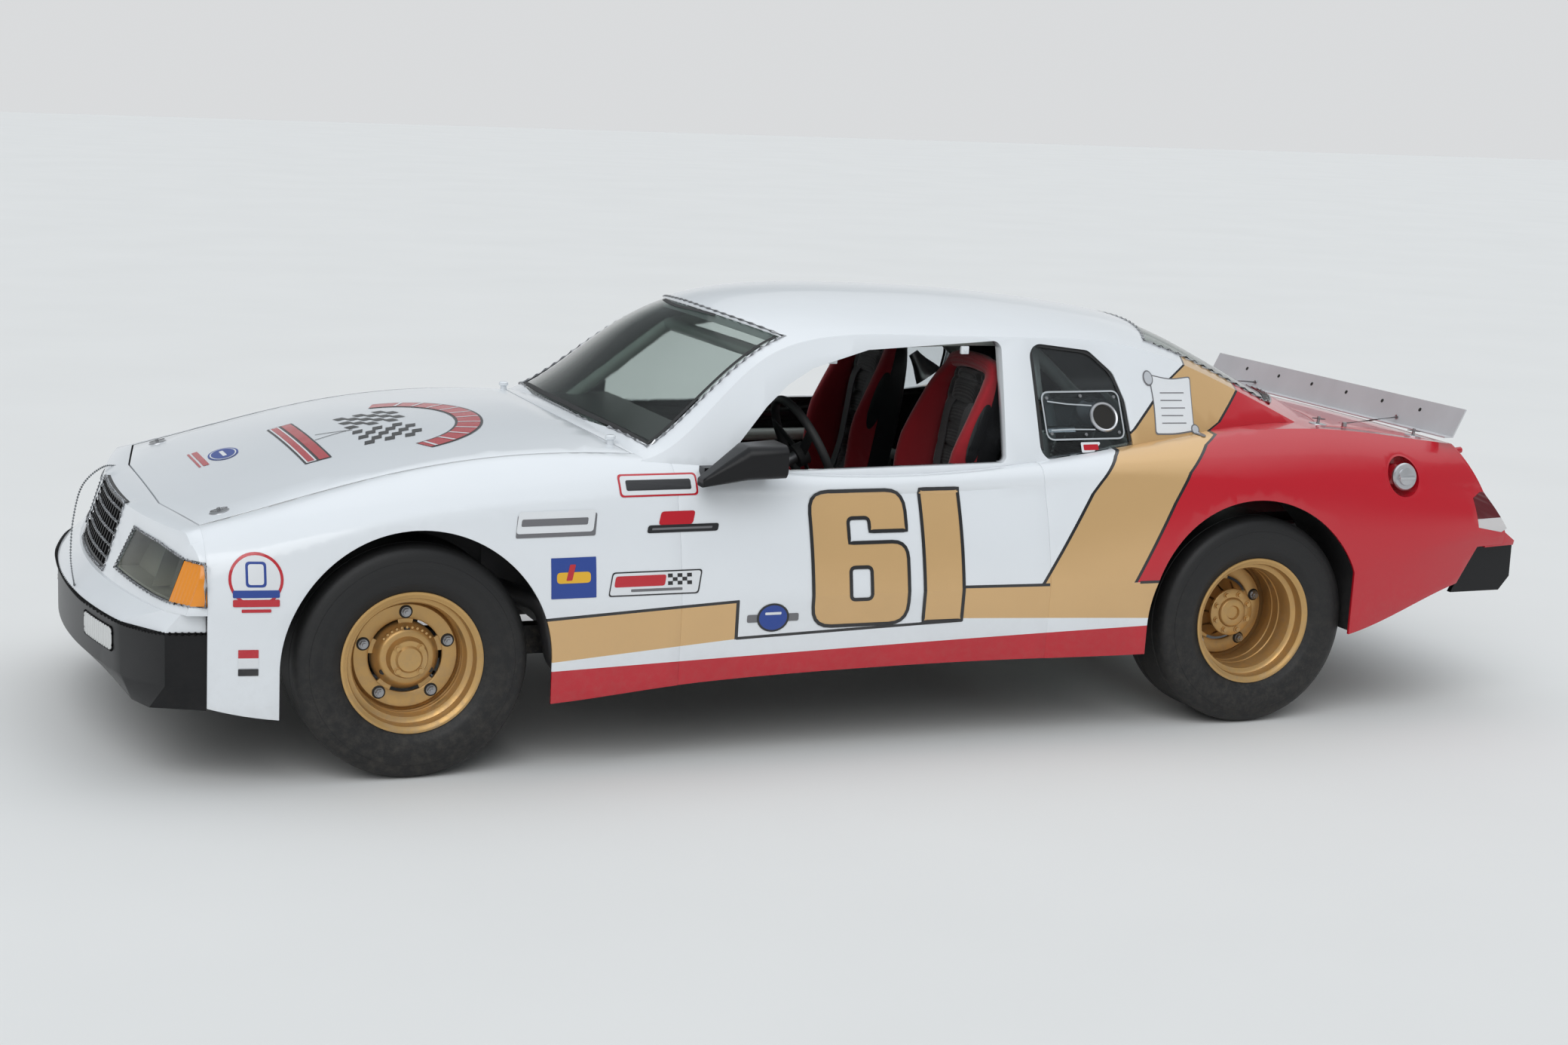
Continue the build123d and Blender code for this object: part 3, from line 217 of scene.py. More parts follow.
def build_livery_group(sizes):
    """White ahead, gold bands, red sill and red tail, with thin black lines between them."""
    g, given, out = node_group(
        "Livery", [("White", "Color", (0.8, 0.8, 0.8, 1)), ("Gold", "Color", (0.4, 0.25, 0.09, 1)),
                   ("Red", "Color", (0.6, 0.01, 0.02, 1)), ("Line", "Color", (0.012, 0.012, 0.014, 1))],
        [("Colour", "Color"), ("Gold Mask", "Float")])
    x_row, _, z = g.split(g.place())
    x = g.math("SUBTRACT", x_row, MIDDLE)

    def line_z(x0, z0, x1, z1):
        """Height of the line through two places, at this x."""
        slope = (z1 - z0) / (x1 - x0)
        return g.math("ADD", g.math("MULTIPLY", x, slope), z0 - slope * x0)

    def over(a, b):
        """One where a is greater than b."""
        return g.math("GREATER_THAN", a, b)

    def both(*masks):
        """One where every mask is one."""
        total = masks[0]
        for mask in masks[1:]:
            total = g.math("MULTIPLY", total, mask)
        return total

    def near(a, b, half):
        """One where a is within half of b."""
        return over(half, g.math("ABSOLUTE", g.math("SUBTRACT", a, b)))

    def either(*masks):
        """One where any mask is one."""
        total = masks[0]
        for mask in masks[1:]:
            total = g.math("MAXIMUM", total, mask)
        return total

    def slant(rows):
        """Place along the car, at this height, of a line through (x, z) rows from the crease up."""
        place = rows[0][0]
        for (x0, z0), (x1, z1) in zip(rows, rows[1:]):
            place = g.math("ADD", g.ramp(z, z0, z1, 0.0, x1 - x0), place)
        return place

    pin = sizes.pin_line / 2
    front_slant = slant(FRONT_SLANT)
    rear_slant = slant(REAR_SLANT)
    upper = over(z, CREASE)
    lower = over(CREASE, z)
    red_tail = both(upper, over(rear_slant, x))
    gold_slant = both(upper, over(front_slant, x), over(x, rear_slant))
    behind_wheel = both(lower, over(REAR_ARCH, x))
    ahead_wheel = over(x, REAR_ARCH)
    sill_top = line_z(0.988, 0.305, -0.973, 0.357)
    red_sill = both(lower, ahead_wheel, over(SILL_FRONT, x), over(sill_top, z))
    front_top = line_z(1.003, 0.461, FENDER_BAND_END, 0.491)
    front_foot = line_z(0.991, 0.332, 0.426, 0.375)
    rear_top = line_z(DOOR_BAND_START, 0.507, -0.986, 0.499)
    rear_foot = line_z(-0.326, 0.407, -0.971, 0.382)
    front_band = both(over(front_top, z), over(z, front_foot), over(x, FENDER_BAND_END), over(SILL_FRONT, x))
    rear_band = both(over(rear_top, z), over(z, rear_foot), over(DOOR_BAND_START, x), ahead_wheel)
    gold = either(gold_slant, front_band, rear_band)
    red = either(red_tail, behind_wheel, red_sill)
    panel_foot = line_z(FENDER_BAND_END, 0.377, -0.318, 0.400)
    black = either(
        both(near(front_top, z, pin), over(x, FENDER_BAND_END - pin), over(SILL_FRONT, x)),
        both(near(x, FENDER_BAND_END, pin * 1.2), over(z, 0.374), over(0.494, z)),
        both(near(panel_foot, z, pin), over(FENDER_BAND_END, x), over(x, -0.322)),
        both(near(x, DOOR_BAND_START, pin * 1.2), over(z, 0.397), over(0.510, z)),
        both(near(rear_top, z, pin), over(-0.318, x), over(x, -0.617)),
        both(near(x, front_slant, pin * 1.35), upper),
        both(near(x, rear_slant, pin * 1.3), upper),
        both(near(z, CREASE, pin), over(-0.935, x), ahead_wheel))
    colour = g.mix(red, given["White"], given["Red"])
    colour = g.mix(gold, colour, given["Gold"])
    g.put(out["Colour"], g.mix(black, colour, given["Line"]))
    g.put(out["Gold Mask"], g.math("MULTIPLY", gold, g.math("SUBTRACT", 1.0, black)))


def material(name, colour, rough=0.4, metallic=0.0, drift=0.08, dust=0.15, grain=400.0, depth=0.0002,
             **sockets):
    """A finish with drift, dust and grain. Other names set Principled sockets, _ standing for a space."""
    made = bpy.data.materials.new(name)
    FINISHES[name] = made
    made.use_nodes = True
    g = Graph(made.node_tree)
    shader = made.node_tree.nodes["Principled BSDF"]
    weather = g.node("ShaderNodeGroup", node_tree=bpy.data.node_groups["Weather"])
    weather.inputs["Colour"].default_value = (*colour, 1)
    for key, value in (("Roughness", rough), ("Drift", drift), ("Dust", dust), ("Grain Scale", grain)):
        weather.inputs[key].default_value = value
    g.put(shader.inputs["Base Color"], weather.outputs["Colour"])
    g.put(shader.inputs["Roughness"], weather.outputs["Roughness"])
    g.put(shader.inputs["Normal"], g.bump(weather.outputs["Height"], depth))
    shader.inputs["Metallic"].default_value = metallic
    for key, value in sockets.items():
        shader.inputs[key.replace("_", " ")].default_value = value
    made["weather"] = weather.name
    return made


def parts_of(made):
    """Graph, Principled shader and weather group of a finish."""
    tree = made.node_tree
    return Graph(tree), tree.nodes["Principled BSDF"], tree.nodes[made["weather"]]


def livery_finish(colours):
    """Body paint with the livery's bands, under clear coat, and painted shade on faces turned inward or down.
    """
    made = material("body_paint", (0.8, 0.8, 0.8), 0.24, drift=0.015, dust=0.10, grain=900.0, depth=0.00004,
                    Coat_Weight=0.5, Coat_Roughness=0.06)
    g, shader, weather = parts_of(made)
    livery = g.node("ShaderNodeGroup", node_tree=bpy.data.node_groups["Livery"])
    for key, value in (("White", colours.white), ("Gold", colours.gold), ("Red", colours.red)):
        livery.inputs[key].default_value = (*value, 1)
    # painted shade: faces of the sheets turned to the car's middle or down are painted near black, standing
    # in for the shade inside and under the body
    normal = g.split(g.node("ShaderNodeNewGeometry").outputs["Normal"])
    inward = g.math("MULTIPLY", g.math("MULTIPLY", normal[1], g.split(g.place())[1]), -8.0, clamp=True)
    down = g.math("MULTIPLY", g.math("ADD", normal[2], 0.7), -8.0, clamp=True)
    inner = g.math("MAXIMUM", inward, down)
    # painted shade: where the mask is one, the livery gives way to near black
    g.put(weather.inputs["Colour"], g.mix(inner, livery.outputs["Colour"], (0.022, 0.022, 0.024, 1)))
    gold_metal = g.math("MULTIPLY", livery.outputs["Gold Mask"], 0.25)
    g.put(shader.inputs["Metallic"], g.math("MULTIPLY", gold_metal, g.math("SUBTRACT", 1.0, inner)))


def build_finishes(colours, sizes):
    """Every finish used on the car."""
    build_weather_group()
    build_livery_group(sizes)
    livery_finish(colours)
    material("white_paint", colours.white, 0.26, drift=0.02, Coat_Weight=0.5, Coat_Roughness=0.06)
    material("red_paint", colours.red, 0.26, drift=0.03, Coat_Weight=0.6, Coat_Roughness=0.05)
    material("gold_decal", colours.gold, 0.33, metallic=0.25, drift=0.05, Coat_Weight=0.4)
    material("black_decal", (0.012, 0.012, 0.014), 0.35, drift=0.0, Coat_Weight=0.3)
    material("grey_decal", (0.16, 0.16, 0.17), 0.4)
    material("blue_decal", (0.02, 0.06, 0.30), 0.35)
    material("yellow_decal", (0.80, 0.45, 0.03), 0.35)
    material("scroll_paper", (0.74, 0.76, 0.78), 0.45, drift=0.05)
    material("chrome", (0.62, 0.63, 0.65), 0.12, metallic=1.0, drift=0.1, dust=0.1)
    material("brushed_aluminium", (0.62, 0.63, 0.65), 0.32, metallic=0.9, drift=0.15, grain=250.0,
             depth=0.0003)
    material("dull_steel", (0.20, 0.20, 0.21), 0.45, metallic=0.8, drift=0.3, dust=0.6)
    material("frame_paint", (0.022, 0.022, 0.024), 0.5, drift=0.2, dust=0.7)
    material("cage_paint", (0.55, 0.60, 0.56), 0.35, drift=0.1, dust=0.1)
    material("cabin_floor", (0.05, 0.05, 0.052), 0.6, drift=0.3, dust=0.5)
    material("black_plastic", (0.016, 0.016, 0.018), 0.42, drift=0.1, dust=0.35, grain=700.0, depth=0.0003)
    material("gloss_black", (0.006, 0.006, 0.007), 0.34, drift=0.02, dust=0.02, Specular_IOR_Level=0.28)
    material("soft_rubber", (0.018, 0.018, 0.019), 0.6, drift=0.1, grain=900.0, depth=0.0004)
    material("gold_wheel", colours.wheel, 0.34, metallic=0.62, drift=0.16, dust=0.5, grain=600.0,
             depth=0.0001)
    # painted shade: a near-black finish for discs that stand for holes, pockets and openings
    material("painted_hole_shade", (0.02, 0.018, 0.015), 0.5, metallic=0.3)
    material("cast_iron", (0.09, 0.09, 0.095), 0.6, metallic=0.5, drift=0.3, dust=0.3, grain=300.0,
             depth=0.0006)
    material("bolt_steel", (0.40, 0.40, 0.41), 0.3, metallic=0.95, drift=0.2)
    material("foil_hose", (0.42, 0.42, 0.42), 0.35, metallic=0.8, drift=0.2)
    bowl_finish()
    material("clear_glass", (0.48, 0.55, 0.52), 0.02, drift=0.02, dust=0.05, depth=0.00001,
             Transmission_Weight=1.0, IOR=1.22)
    material("lamp_glass", (0.86, 0.90, 0.88), 0.03, drift=0.02, dust=0.0, depth=0.00001,
             Transmission_Weight=1.0, IOR=1.16)
    material("clear_plastic", (0.66, 0.70, 0.72), 0.06, drift=0.05, dust=0.0, depth=0.00002,
             Transmission_Weight=1.0, IOR=1.45)
    ribbed_lens("amber_lens", (0.82, 0.27, 0.006))
    ribbed_lens("clear_lens", (0.62, 0.63, 0.62))
    tyre_finish()
    cloth_finish("red_cloth", colours.seat)
    cloth_finish("black_cloth", (0.010, 0.010, 0.011))
    material("frosted_plastic", (0.45, 0.48, 0.50), 0.35, drift=0.05, dust=0.0)
    material("scroll_roll", (0.50, 0.52, 0.55), 0.45, drift=0.05)
    material("black_leather", (0.018, 0.019, 0.021), 0.34, drift=0.1, dust=0.0, grain=260.0, depth=0.0005)
    material("dull_aluminium", (0.66, 0.66, 0.68), 0.40, metallic=0.30, drift=0.12, grain=250.0, depth=0.0003)
    strap_finish()
    tail_lens()


def tail_lens():
    """Dark red lens over a silver strip."""
    made = ribbed_lens("tail_lens", (0.14, 0.004, 0.008))
    g, _, weather = parts_of(made)
    above = g.math("GREATER_THAN", g.split(g.place())[2], TAIL_STRIP_TOP)
    g.put(weather.inputs["Colour"], g.mix(above, (0.62, 0.60, 0.60, 1), (0.10, 0.003, 0.007, 1)))


def bowl_finish():
    """Lamp housing: a sandy floor, with painted shade that darkens it upwards."""
    made = material("lamp_bowl", (0.2, 0.2, 0.2), 0.45, drift=0.3, dust=0.0)
    g, _, weather = parts_of(made)
    # painted shade: near black above this height, sandy below
    rise = g.ramp(g.split(g.place())[2], 0.560, 0.625)
    g.put(weather.inputs["Colour"], g.mix(rise, (0.24, 0.23, 0.18, 1), (0.085, 0.095, 0.088, 1)))


def ribbed_lens(name, colour):
    """Moulded lens with fine vertical ribs."""
    made = material(name, colour, 0.16, drift=0.05, dust=0.1, Coat_Weight=0.6, Coat_Roughness=0.05)
    g, shader, _ = parts_of(made)
    g.put(shader.inputs["Normal"], g.bump(g.wave("Y", 28.0), 0.0012, 0.7))
    return made


def tyre_finish():
    """Black rubber with fine rolling marks round it."""
    made = material("tyre_rubber", (0.016, 0.016, 0.0165), 0.50, drift=0.04, dust=0.10, grain=160.0,
                    depth=0.0005, Specular_IOR_Level=0.35)
    g, _, weather = parts_of(made)
    y = g.split(g.place())[1]
    rings = g.node("ShaderNodeTexNoise", noise_dimensions="1D")
    g.put(rings.inputs["W"], g.math("MULTIPLY", y, 900.0))
    scuff = g.ramp(rings.outputs["Fac"], 0.45, 0.8, 0.0, 0.35)
    g.put(weather.inputs["Colour"], g.mix(scuff, (0.014, 0.014, 0.0145, 1), (0.034, 0.034, 0.034, 1)))


def cloth_finish(name, colour):
    """Woven seat cloth with sheen."""
    made = material(name, colour, 0.85, drift=0.12, dust=0.0, Sheen_Weight=0.35, Sheen_Roughness=0.4)
    g, shader, _ = parts_of(made)
    weave = g.math("MULTIPLY", g.wave("X", 180.0, 1.5), g.wave("Z", 180.0, 1.5))
    g.put(shader.inputs["Normal"], g.bump(weave, 0.0010, 0.8))


def strap_finish():
    """Belt webbing: fine ribs along the strap."""
    made = material("webbing", (0.02, 0.02, 0.022), 0.7, drift=0.1, dust=0.0, Sheen_Weight=0.2)
    g, shader, _ = parts_of(made)
    g.put(shader.inputs["Normal"], g.bump(g.wave("DIAGONAL", 220.0), 0.0008, 0.8))


def smooth_node(name, finish, angle=32.0, bevel=0.0):
    """Finish and soft shading for a CAD node, whose vertices stay as they are."""
    obj = NODES[name]
    obj.data.materials.clear()
    obj.data.materials.append(FINISHES[finish])
    for polygon in obj.data.polygons:
        polygon.use_smooth = True
    weld = obj.modifiers.new("weld", "WELD")
    weld.merge_threshold = WELD_REACH
    if bevel:
        soft = obj.modifiers.new("edge", "BEVEL")
        soft.width = bevel
        soft.segments = 2
        soft.limit_method = "ANGLE"
        soft.angle_limit = math.radians(BEVEL_ANGLE)
        soft.use_clamp_overlap = True
    split = obj.modifiers.new("crease", "EDGE_SPLIT")
    split.split_angle = math.radians(angle)
    split.use_edge_sharp = False


def add_piece(name, mesh, finish, body, smooth=True, replaces=(), slot=None):
    """Links a mesh as one piece, riding on a body."""
    obj = bpy.data.objects.new(name, mesh)
    bpy.context.scene.collection.objects.link(obj)
    mesh.materials.append(FINISHES[finish])
    if smooth:
        for polygon in mesh.polygons:
            polygon.use_smooth = True
        split = obj.modifiers.new("crease", "EDGE_SPLIT")
        split.split_angle = math.radians(PIECE_CREASE)
    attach(obj, body)
    if replaces:
        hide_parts(*replaces)
    return obj


def plain_mesh(name, bm):
    """Turns a bmesh into a mesh as it is."""
    mesh = bpy.data.meshes.new(name)
    bm.to_mesh(mesh)
    bm.free()
    return mesh


def add_solid(name, bm, finish, body="chassis", **how):
    """Adds a bmesh as a piece, with its faces turned outward."""
    bmesh.ops.recalc_face_normals(bm, faces=bm.faces)
    return add_piece(name, plain_mesh(name, bm), finish, body, **how)


def joined(name, meshes):
    """One mesh made of several, which are removed."""
    bm = bmesh.new()
    for mesh in meshes:
        bm.from_mesh(mesh)
        bpy.data.meshes.remove(mesh)
    return plain_mesh(name, bm)


def add_ring_faces(bm, rings, closed_path=False, closed_ring=True):
    """Quads between rings of vertices."""
    pairs = list(zip(rings, rings[1:]))
    if closed_path:
        pairs.append((rings[-1], rings[0]))
    for one, two in pairs:
        count = len(one)
        for i in range(count if closed_ring else count - 1):
            j = (i + 1) % count
            bm.faces.new((one[i], one[j], two[j], two[i]))


def add_skin(bm, rings):
    """Quads between rings of vertices, and a face over each end."""
    add_ring_faces(bm, rings)
    bm.faces.new(rings[0])
    bm.faces.new(rings[-1])


def polar(centre, side, offset, radius, angle):
    """A point on a wheel, at an offset outward and an angle in radians round its axle."""
    return Vector((centre.x + radius * math.cos(angle), centre.y + side * offset,
                   centre.z + radius * math.sin(angle)))


def lathe(bm, profile, centre, segments, side=1):
    """Turns a closed profile of (offset along Y, radius) points about the axis through centre."""
    rings = [[bm.verts.new(polar(centre, side, offset, radius, 2 * math.pi * i / segments))
              for i in range(segments)] for offset, radius in profile]
    add_ring_faces(bm, rings, closed_path=True)
    return [v for ring in rings for v in ring]


def blend_rows(rows, steps):
    """Rows of numbers with smooth rows filled in between them."""
    filled = []
    last = len(rows) - 1
    for i in range(last):
        around = (rows[max(i - 1, 0)], rows[i], rows[i + 1], rows[min(i + 2, last)])
        for k in range(steps):
            t = k / steps
            filled.append([0.5 * (2 * b + (c - a) * t + (2 * a - 5 * b + 4 * c - d) * t * t
                                  + (3 * b - a - 3 * c + d) * t ** 3) for a, b, c, d in zip(*around)])
    filled.append(list(rows[-1]))
    return filled


def smooth_path(points, steps=8):
    """A smooth curve through points."""
    return [Vector(row) for row in blend_rows([tuple(p) for p in points], steps)]


def sweep(bm, path, radius, sides, closed=False, flat=1.0):
    """A tube along a path. radius is a number or one for each point, and flat squeezes its second axis."""
    count = len(path)
    radii = radius if isinstance(radius, (list, tuple)) else [radius] * count
    rings = []
    across = None
    for i, point in enumerate(path):
        before = path[i - 1] if (i or closed) else path[i]
        after = path[(i + 1) % count] if (i < count - 1 or closed) else path[i]
        ahead = (after - before).normalized()
        across = ahead.cross(UP if across is None else across.cross(ahead).normalized() * -1)
        if across.length < 1e-4:
            across = ahead.orthogonal()
        across.normalize()
        other = across.cross(ahead).normalized()
        ring = []
        for k in range(sides):
            angle = 2 * math.pi * k / sides
            ring.append(bm.verts.new(point + across * (radii[i] * math.cos(angle))
                                     + other * (radii[i] * flat * math.sin(angle))))
        rings.append(ring)
    if closed:
        add_ring_faces(bm, rings, closed_path=True)
    else:
        add_skin(bm, rings)


def block(bm, low, high, bevel):
    """A box between two corners with softened edges."""
    made = bmesh.ops.create_cube(bm, size=1.0)
    size = Vector(high) - Vector(low)
    middle = (Vector(high) + Vector(low)) / 2
    for v in made["verts"]:
        v.co = Vector((v.co.x * size.x, v.co.y * size.y, v.co.z * size.z)) + middle
    edges = list(dict.fromkeys(e for v in made["verts"] for e in v.link_edges))
    bmesh.ops.bevel(bm, geom=edges, offset=bevel, segments=2, affect="EDGES", profile=0.5)


def bolt(bm, at, axis, radius, height, sides=6, washer=0.0):
    """A headed bolt standing on a surface, with a washer under it if asked."""
    turn = Vector(axis).to_track_quat("Z", "X").to_matrix().to_4x4()
    place = Matrix.Translation(Vector(at)) @ turn
    if washer:
        bmesh.ops.create_cone(bm, cap_ends=True, segments=20, radius1=washer, radius2=washer * 0.96,
                              depth=height * 0.3, matrix=place @ Matrix.Translation((0, 0, height * 0.15)))
    bmesh.ops.create_cone(bm, cap_ends=True, segments=sides, radius1=radius, radius2=radius * 0.92,
                          depth=height, matrix=place @ Matrix.Translation((0, 0, height * 0.5)))


def turned(bm, profile, at, axis, segments=48):
    """Turns (offset along the axis, radius) points about an axis through a place."""
    verts = lathe(bm, profile, Vector((0, 0, 0)), segments)
    turn = Vector((0, 1, 0)).rotation_difference(Vector(axis).normalized()).to_matrix().to_4x4()
    bmesh.ops.transform(bm, matrix=Matrix.Translation(Vector(at)) @ turn, verts=verts)


def surface_of(*names):
    """A tree to cast rays at the given CAD nodes."""
    verts = []
    faces = []
    for name in names:
        mesh = NODES[name].data
        start = len(verts)
        verts += [v.co.copy() for v in mesh.vertices]
        faces += [[start + i for i in p.vertices] for p in mesh.polygons]
    return BVHTree.FromPolygons(verts, faces)


def rounded(points, steps=5):
    """A closed outline from (u, v, corner radius) rows."""
    line = []
    count = len(points)
    for i, (u, v, radius) in enumerate(points):
        here = Vector((u, v))
        if not radius:
            line.append(here)
            continue
        before = (Vector(points[i - 1][:2]) - here).normalized()
        after = (Vector(points[(i + 1) % count][:2]) - here).normalized()
        start = here + before * radius
        end = here + after * radius
        for k in range(steps + 1):
            t = k / steps
            line.append(start * (1 - t) ** 2 + here * (2 * t * (1 - t)) + end * t * t)
    return line


def pressed_mesh(name, loops, tree, place, grid, lift):
    """An outline with holes, cut into a fine grid and laid on a surface. place(u, v) gives a ray."""
    bm = bmesh.new()
    flat = [[Vector((p[0], p[1], 0.0)) for p in loop] for loop in loops]
    corners = [bm.verts.new(p) for loop in flat for p in loop]
    for tri in tessellate_polygon(flat):
        if len(set(tri)) == 3:
            bm.faces.new([corners[i] for i in tri])
    for axis in (0, 1):
        low = min(v.co[axis] for v in bm.verts)
        high = max(v.co[axis] for v in bm.verts)
        normal = Vector((1, 0, 0)) if axis == 0 else Vector((0, 1, 0))
        for i in range(1, int((high - low) / grid) + 1):
            bmesh.ops.bisect_plane(bm, geom=bm.verts[:] + bm.edges[:] + bm.faces[:],
                                   plane_co=normal * (low + i * grid), plane_no=normal)
    press(bm, tree, place, lift)
    return plain_mesh(name, bm)


def press(bm, tree, place, lift):
    """Moves flat (u, v) vertices on to the surface along their rays."""
    spots = [v.co.copy() for v in bm.verts]
    casts = [tree.ray_cast(*place(spot.x, spot.y))[:2] for spot in spots]
    met = [i for i, cast in enumerate(casts) if cast[0] is not None]
    direction = place(0.0, 0.0)[1]
    for v, spot, (hit, normal) in zip(bm.verts, spots, casts):
        if hit is None:
            # a ray that misses takes the place of its nearest neighbour
            hit, normal = casts[min(met, key=lambda i: (spots[i] - spot).length)]
        if normal.dot(direction) > 0:
            normal = -normal
        v.co = hit + normal * lift
    for f in bm.faces:
        f.normal_update()
        if f.normal.dot(direction) > 0:
            f.normal_flip()


def fine_line(loop, step, closed=True):
    """A line with points about a step apart."""
    points = [Vector(p) for p in loop]
    line = []
    for a, b in zip(points, points[1:] + points[:1] if closed else points[1:]):
        steps = max(1, int((b - a).length / step))
        line += [a.lerp(b, k / steps) for k in range(steps)]
    return line if closed else line + [points[-1]]


def band_mesh(name, loops, width, tree, place, lift, closed=True):
    """A thin line of even width along outlines, laid on a surface."""
    bm = bmesh.new()
    for loop in loops:
        fine = fine_line(loop, BAND_STEP, closed)
        rings = []
        total = len(fine)
        for i, p in enumerate(fine):
            before = fine[i - 1] if (closed or i) else p
            after = fine[(i + 1) % total] if (closed or i < total - 1) else p
            along_line = (after - before).normalized()
            side = Vector((-along_line.y, along_line.x)) * width / 2
            rings.append([bm.verts.new((*(p - side), 0)), bm.verts.new((*(p + side), 0))])
        add_ring_faces(bm, rings, closed_path=closed, closed_ring=False)
    press(bm, tree, place, lift)
    return plain_mesh(name, bm)


def add_sheet(name, finish, loops, tree, place, lift, grid=0.025, body="chassis", **how):
    """Adds a thin piece of the given outline and holes, laid on a surface."""
    return add_piece(name, pressed_mesh(name, loops, tree, place, grid, lift), finish, body, **how)


def add_line(name, finish, lines, width, tree, place, lift, closed=True, body="chassis", **how):
    """Adds a thin line of even width, laid on a surface."""
    return add_piece(name, band_mesh(name, lines, width, tree, place, lift, closed), finish, body, **how)


def from_side(side):
    """Rays that meet one flank square on; u is ahead of mid-wheelbase, v is height."""
    def place(u, v):
        return Vector((along(u), side * 1.4, v)), Vector((0, -side, 0))
    return place


def from_front(u, v):
    """Rays that meet the nose square on; u is to the left, v is height."""
    return Vector((along(3.0), u, v)), Vector((-1, 0, 0))


def from_above(u, v):
    """Rays that come down on the body; u is ahead of mid-wheelbase, v is to the left."""
    return Vector((along(u), v, 2.0)), Vector((0, 0, -1))


class StockCarColours(bpy.types.PropertyGroup):
    """Colours that a user would change."""
    white: FloatVectorProperty(name="White", description="Main body colour", subtype="COLOR", size=3,
                               default=(0.76, 0.79, 0.82))
    gold: FloatVectorProperty(name="Gold", description="Bands and race number", subtype="COLOR", size=3,
                              default=(0.66, 0.42, 0.19))
    red: FloatVectorProperty(name="Red", description="Sill and tail", subtype="COLOR", size=3,
                             default=(0.50, 0.004, 0.016))
    wheel: FloatVectorProperty(name="Wheel gold", description="Rims and hubs", subtype="COLOR", size=3,
                               default=(0.60, 0.37, 0.14))
    seat: FloatVectorProperty(name="Seat red", description="Seat cloth", subtype="COLOR", size=3,
                              default=(0.40, 0.010, 0.020))


class StockCarSizes(bpy.types.PropertyGroup):
    """Sizes that a user would change."""
    pin_line: FloatProperty(name="Pin line", description="Width of the black lines", subtype="DISTANCE",
                            default=0.009)
    outline: FloatProperty(name="Number outline", description="Width of the line round the race number",
                           subtype="DISTANCE", default=0.011)
    tread_radius: FloatProperty(name="Tyre radius", description="Radius of the tread", subtype="DISTANCE",
                                default=WHEEL_RADIUS)
    wheel_steps: IntProperty(name="Wheel steps", description="Facets round each rim and tyre", default=144)
    lens: FloatProperty(name="Lens", description="Focal length of the camera", subtype="DISTANCE_CAMERA",
                        default=57.67)


class BuildFinishes(bpy.types.Operator):
    """Make the node groups and every finish"""
    bl_idname = "stock_car.finishes"
    bl_label = "Finishes"

    def execute(self, context):
        build_finishes(context.scene.stock_car_colours, context.scene.stock_car_sizes)
        return {"FINISHED"}


class DressBody(bpy.types.Operator):
    """Paint the body panels and finish the fixed parts of the car"""
    bl_idname = "stock_car.body"
    bl_label = "Body and frame"

    def execute(self, context):
        for name in PAINTED:
            smooth_node(name, "body_paint", 28.0, bevel=0.0025)
        for name in ("deck_lid", "tail_panel"):
            smooth_node(name, "red_paint", bevel=0.0025)
        plain = {
            "windshield": "clear_glass", "rear_window": "clear_glass", "quarter_windows": "clear_plastic",
            "grille": "gloss_black",
            "lamp_covers": "lamp_glass", "headlamps": "lamp_bowl", "marker_lamps": "amber_lens",
            "front_bumper": "gloss_black", "rear_bumper": "gloss_black", "tail_lamps": "tail_lens",
            "spoiler": "dull_aluminium", "mirrors": "gloss_black", "chassis_frame": "frame_paint",
            "roll_cage": "cage_paint", "floor_pan": "cabin_floor", "seats": "black_cloth",
            "dashboard": "gloss_black", "steering_wheel": "soft_rubber", "steering_column": "dull_steel",
            "engine": "cast_iron", "radiator": "brushed_aluminium", "driveline": "dull_steel",
            "rear_axle": "dull_steel", "fuel_cell": "black_plastic", "exhaust": "dull_steel",
            "front_suspension": "dull_steel", "knuckle_left": "dull_steel", "knuckle_right": "dull_steel",
            "tie_rod": "bolt_steel", "air_ducts": "clear_plastic", "air_hoses": "foil_hose",
            "fuel_filler": "red_paint",
        }
        for name, finish in plain.items():
            smooth_node(name, finish, 60.0 if name == "mirrors" else 32.0)
        return {"FINISHED"}


# the tyre's profile from the bead to the tread, and its lining: offset from the middle, radius
TREAD = 0.343
GROOVE_FLOOR = 0.3405
OUTSIDE_TYRE = [(-0.110, 0.192), (-0.124, 0.207), (-0.128, 0.222), (-0.1345, 0.228), (-0.1385, 0.240),
                (-0.1425, 0.262), (-0.1425, 0.280), (-0.1395, 0.298), (-0.1380, 0.299), (-0.1350, 0.316),
                (-0.1270, 0.330), (-0.1180, 0.337), (-0.1080, 0.341), (-0.095, 0.343)]
INSIDE_TYRE = [(-0.098, 0.198), (-0.122, 0.262), (-0.106, 0.318)]


class BuildTyres(bpy.types.Operator):
    """Slick tyres with a rounded shoulder, sidewall ribs and shallow tread grooves"""
    bl_idname = "stock_car.tyres"
    bl_label = "Tyres"

    def execute(self, context):
        sizes = context.scene.stock_car_sizes
        tread = []
        for groove in (-0.070, 0.070):
            tread += [(groove - 0.003, TREAD), (groove - 0.002, GROOVE_FLOOR), (groove + 0.002, GROOVE_FLOOR),
                      (groove + 0.003, TREAD)]
        profile = OUTSIDE_TYRE + tread + [(-y, r) for y, r in reversed(OUTSIDE_TYRE)]
        profile += [(-y, r) for y, r in INSIDE_TYRE] + INSIDE_TYRE[::-1]
        grow = sizes.tread_radius - TREAD
        profile = [(y, r + grow) for y, r in profile]
        for name, centre in WHEELS.items():
            bm = bmesh.new()
            lathe(bm, profile, centre, sizes.wheel_steps)
            add_solid("slick_tyre_" + name, bm, "tyre_rubber", "wheel_" + name, replaces=("tyre_" + name,),
                      slot="tyre")
        return {"FINISHED"}


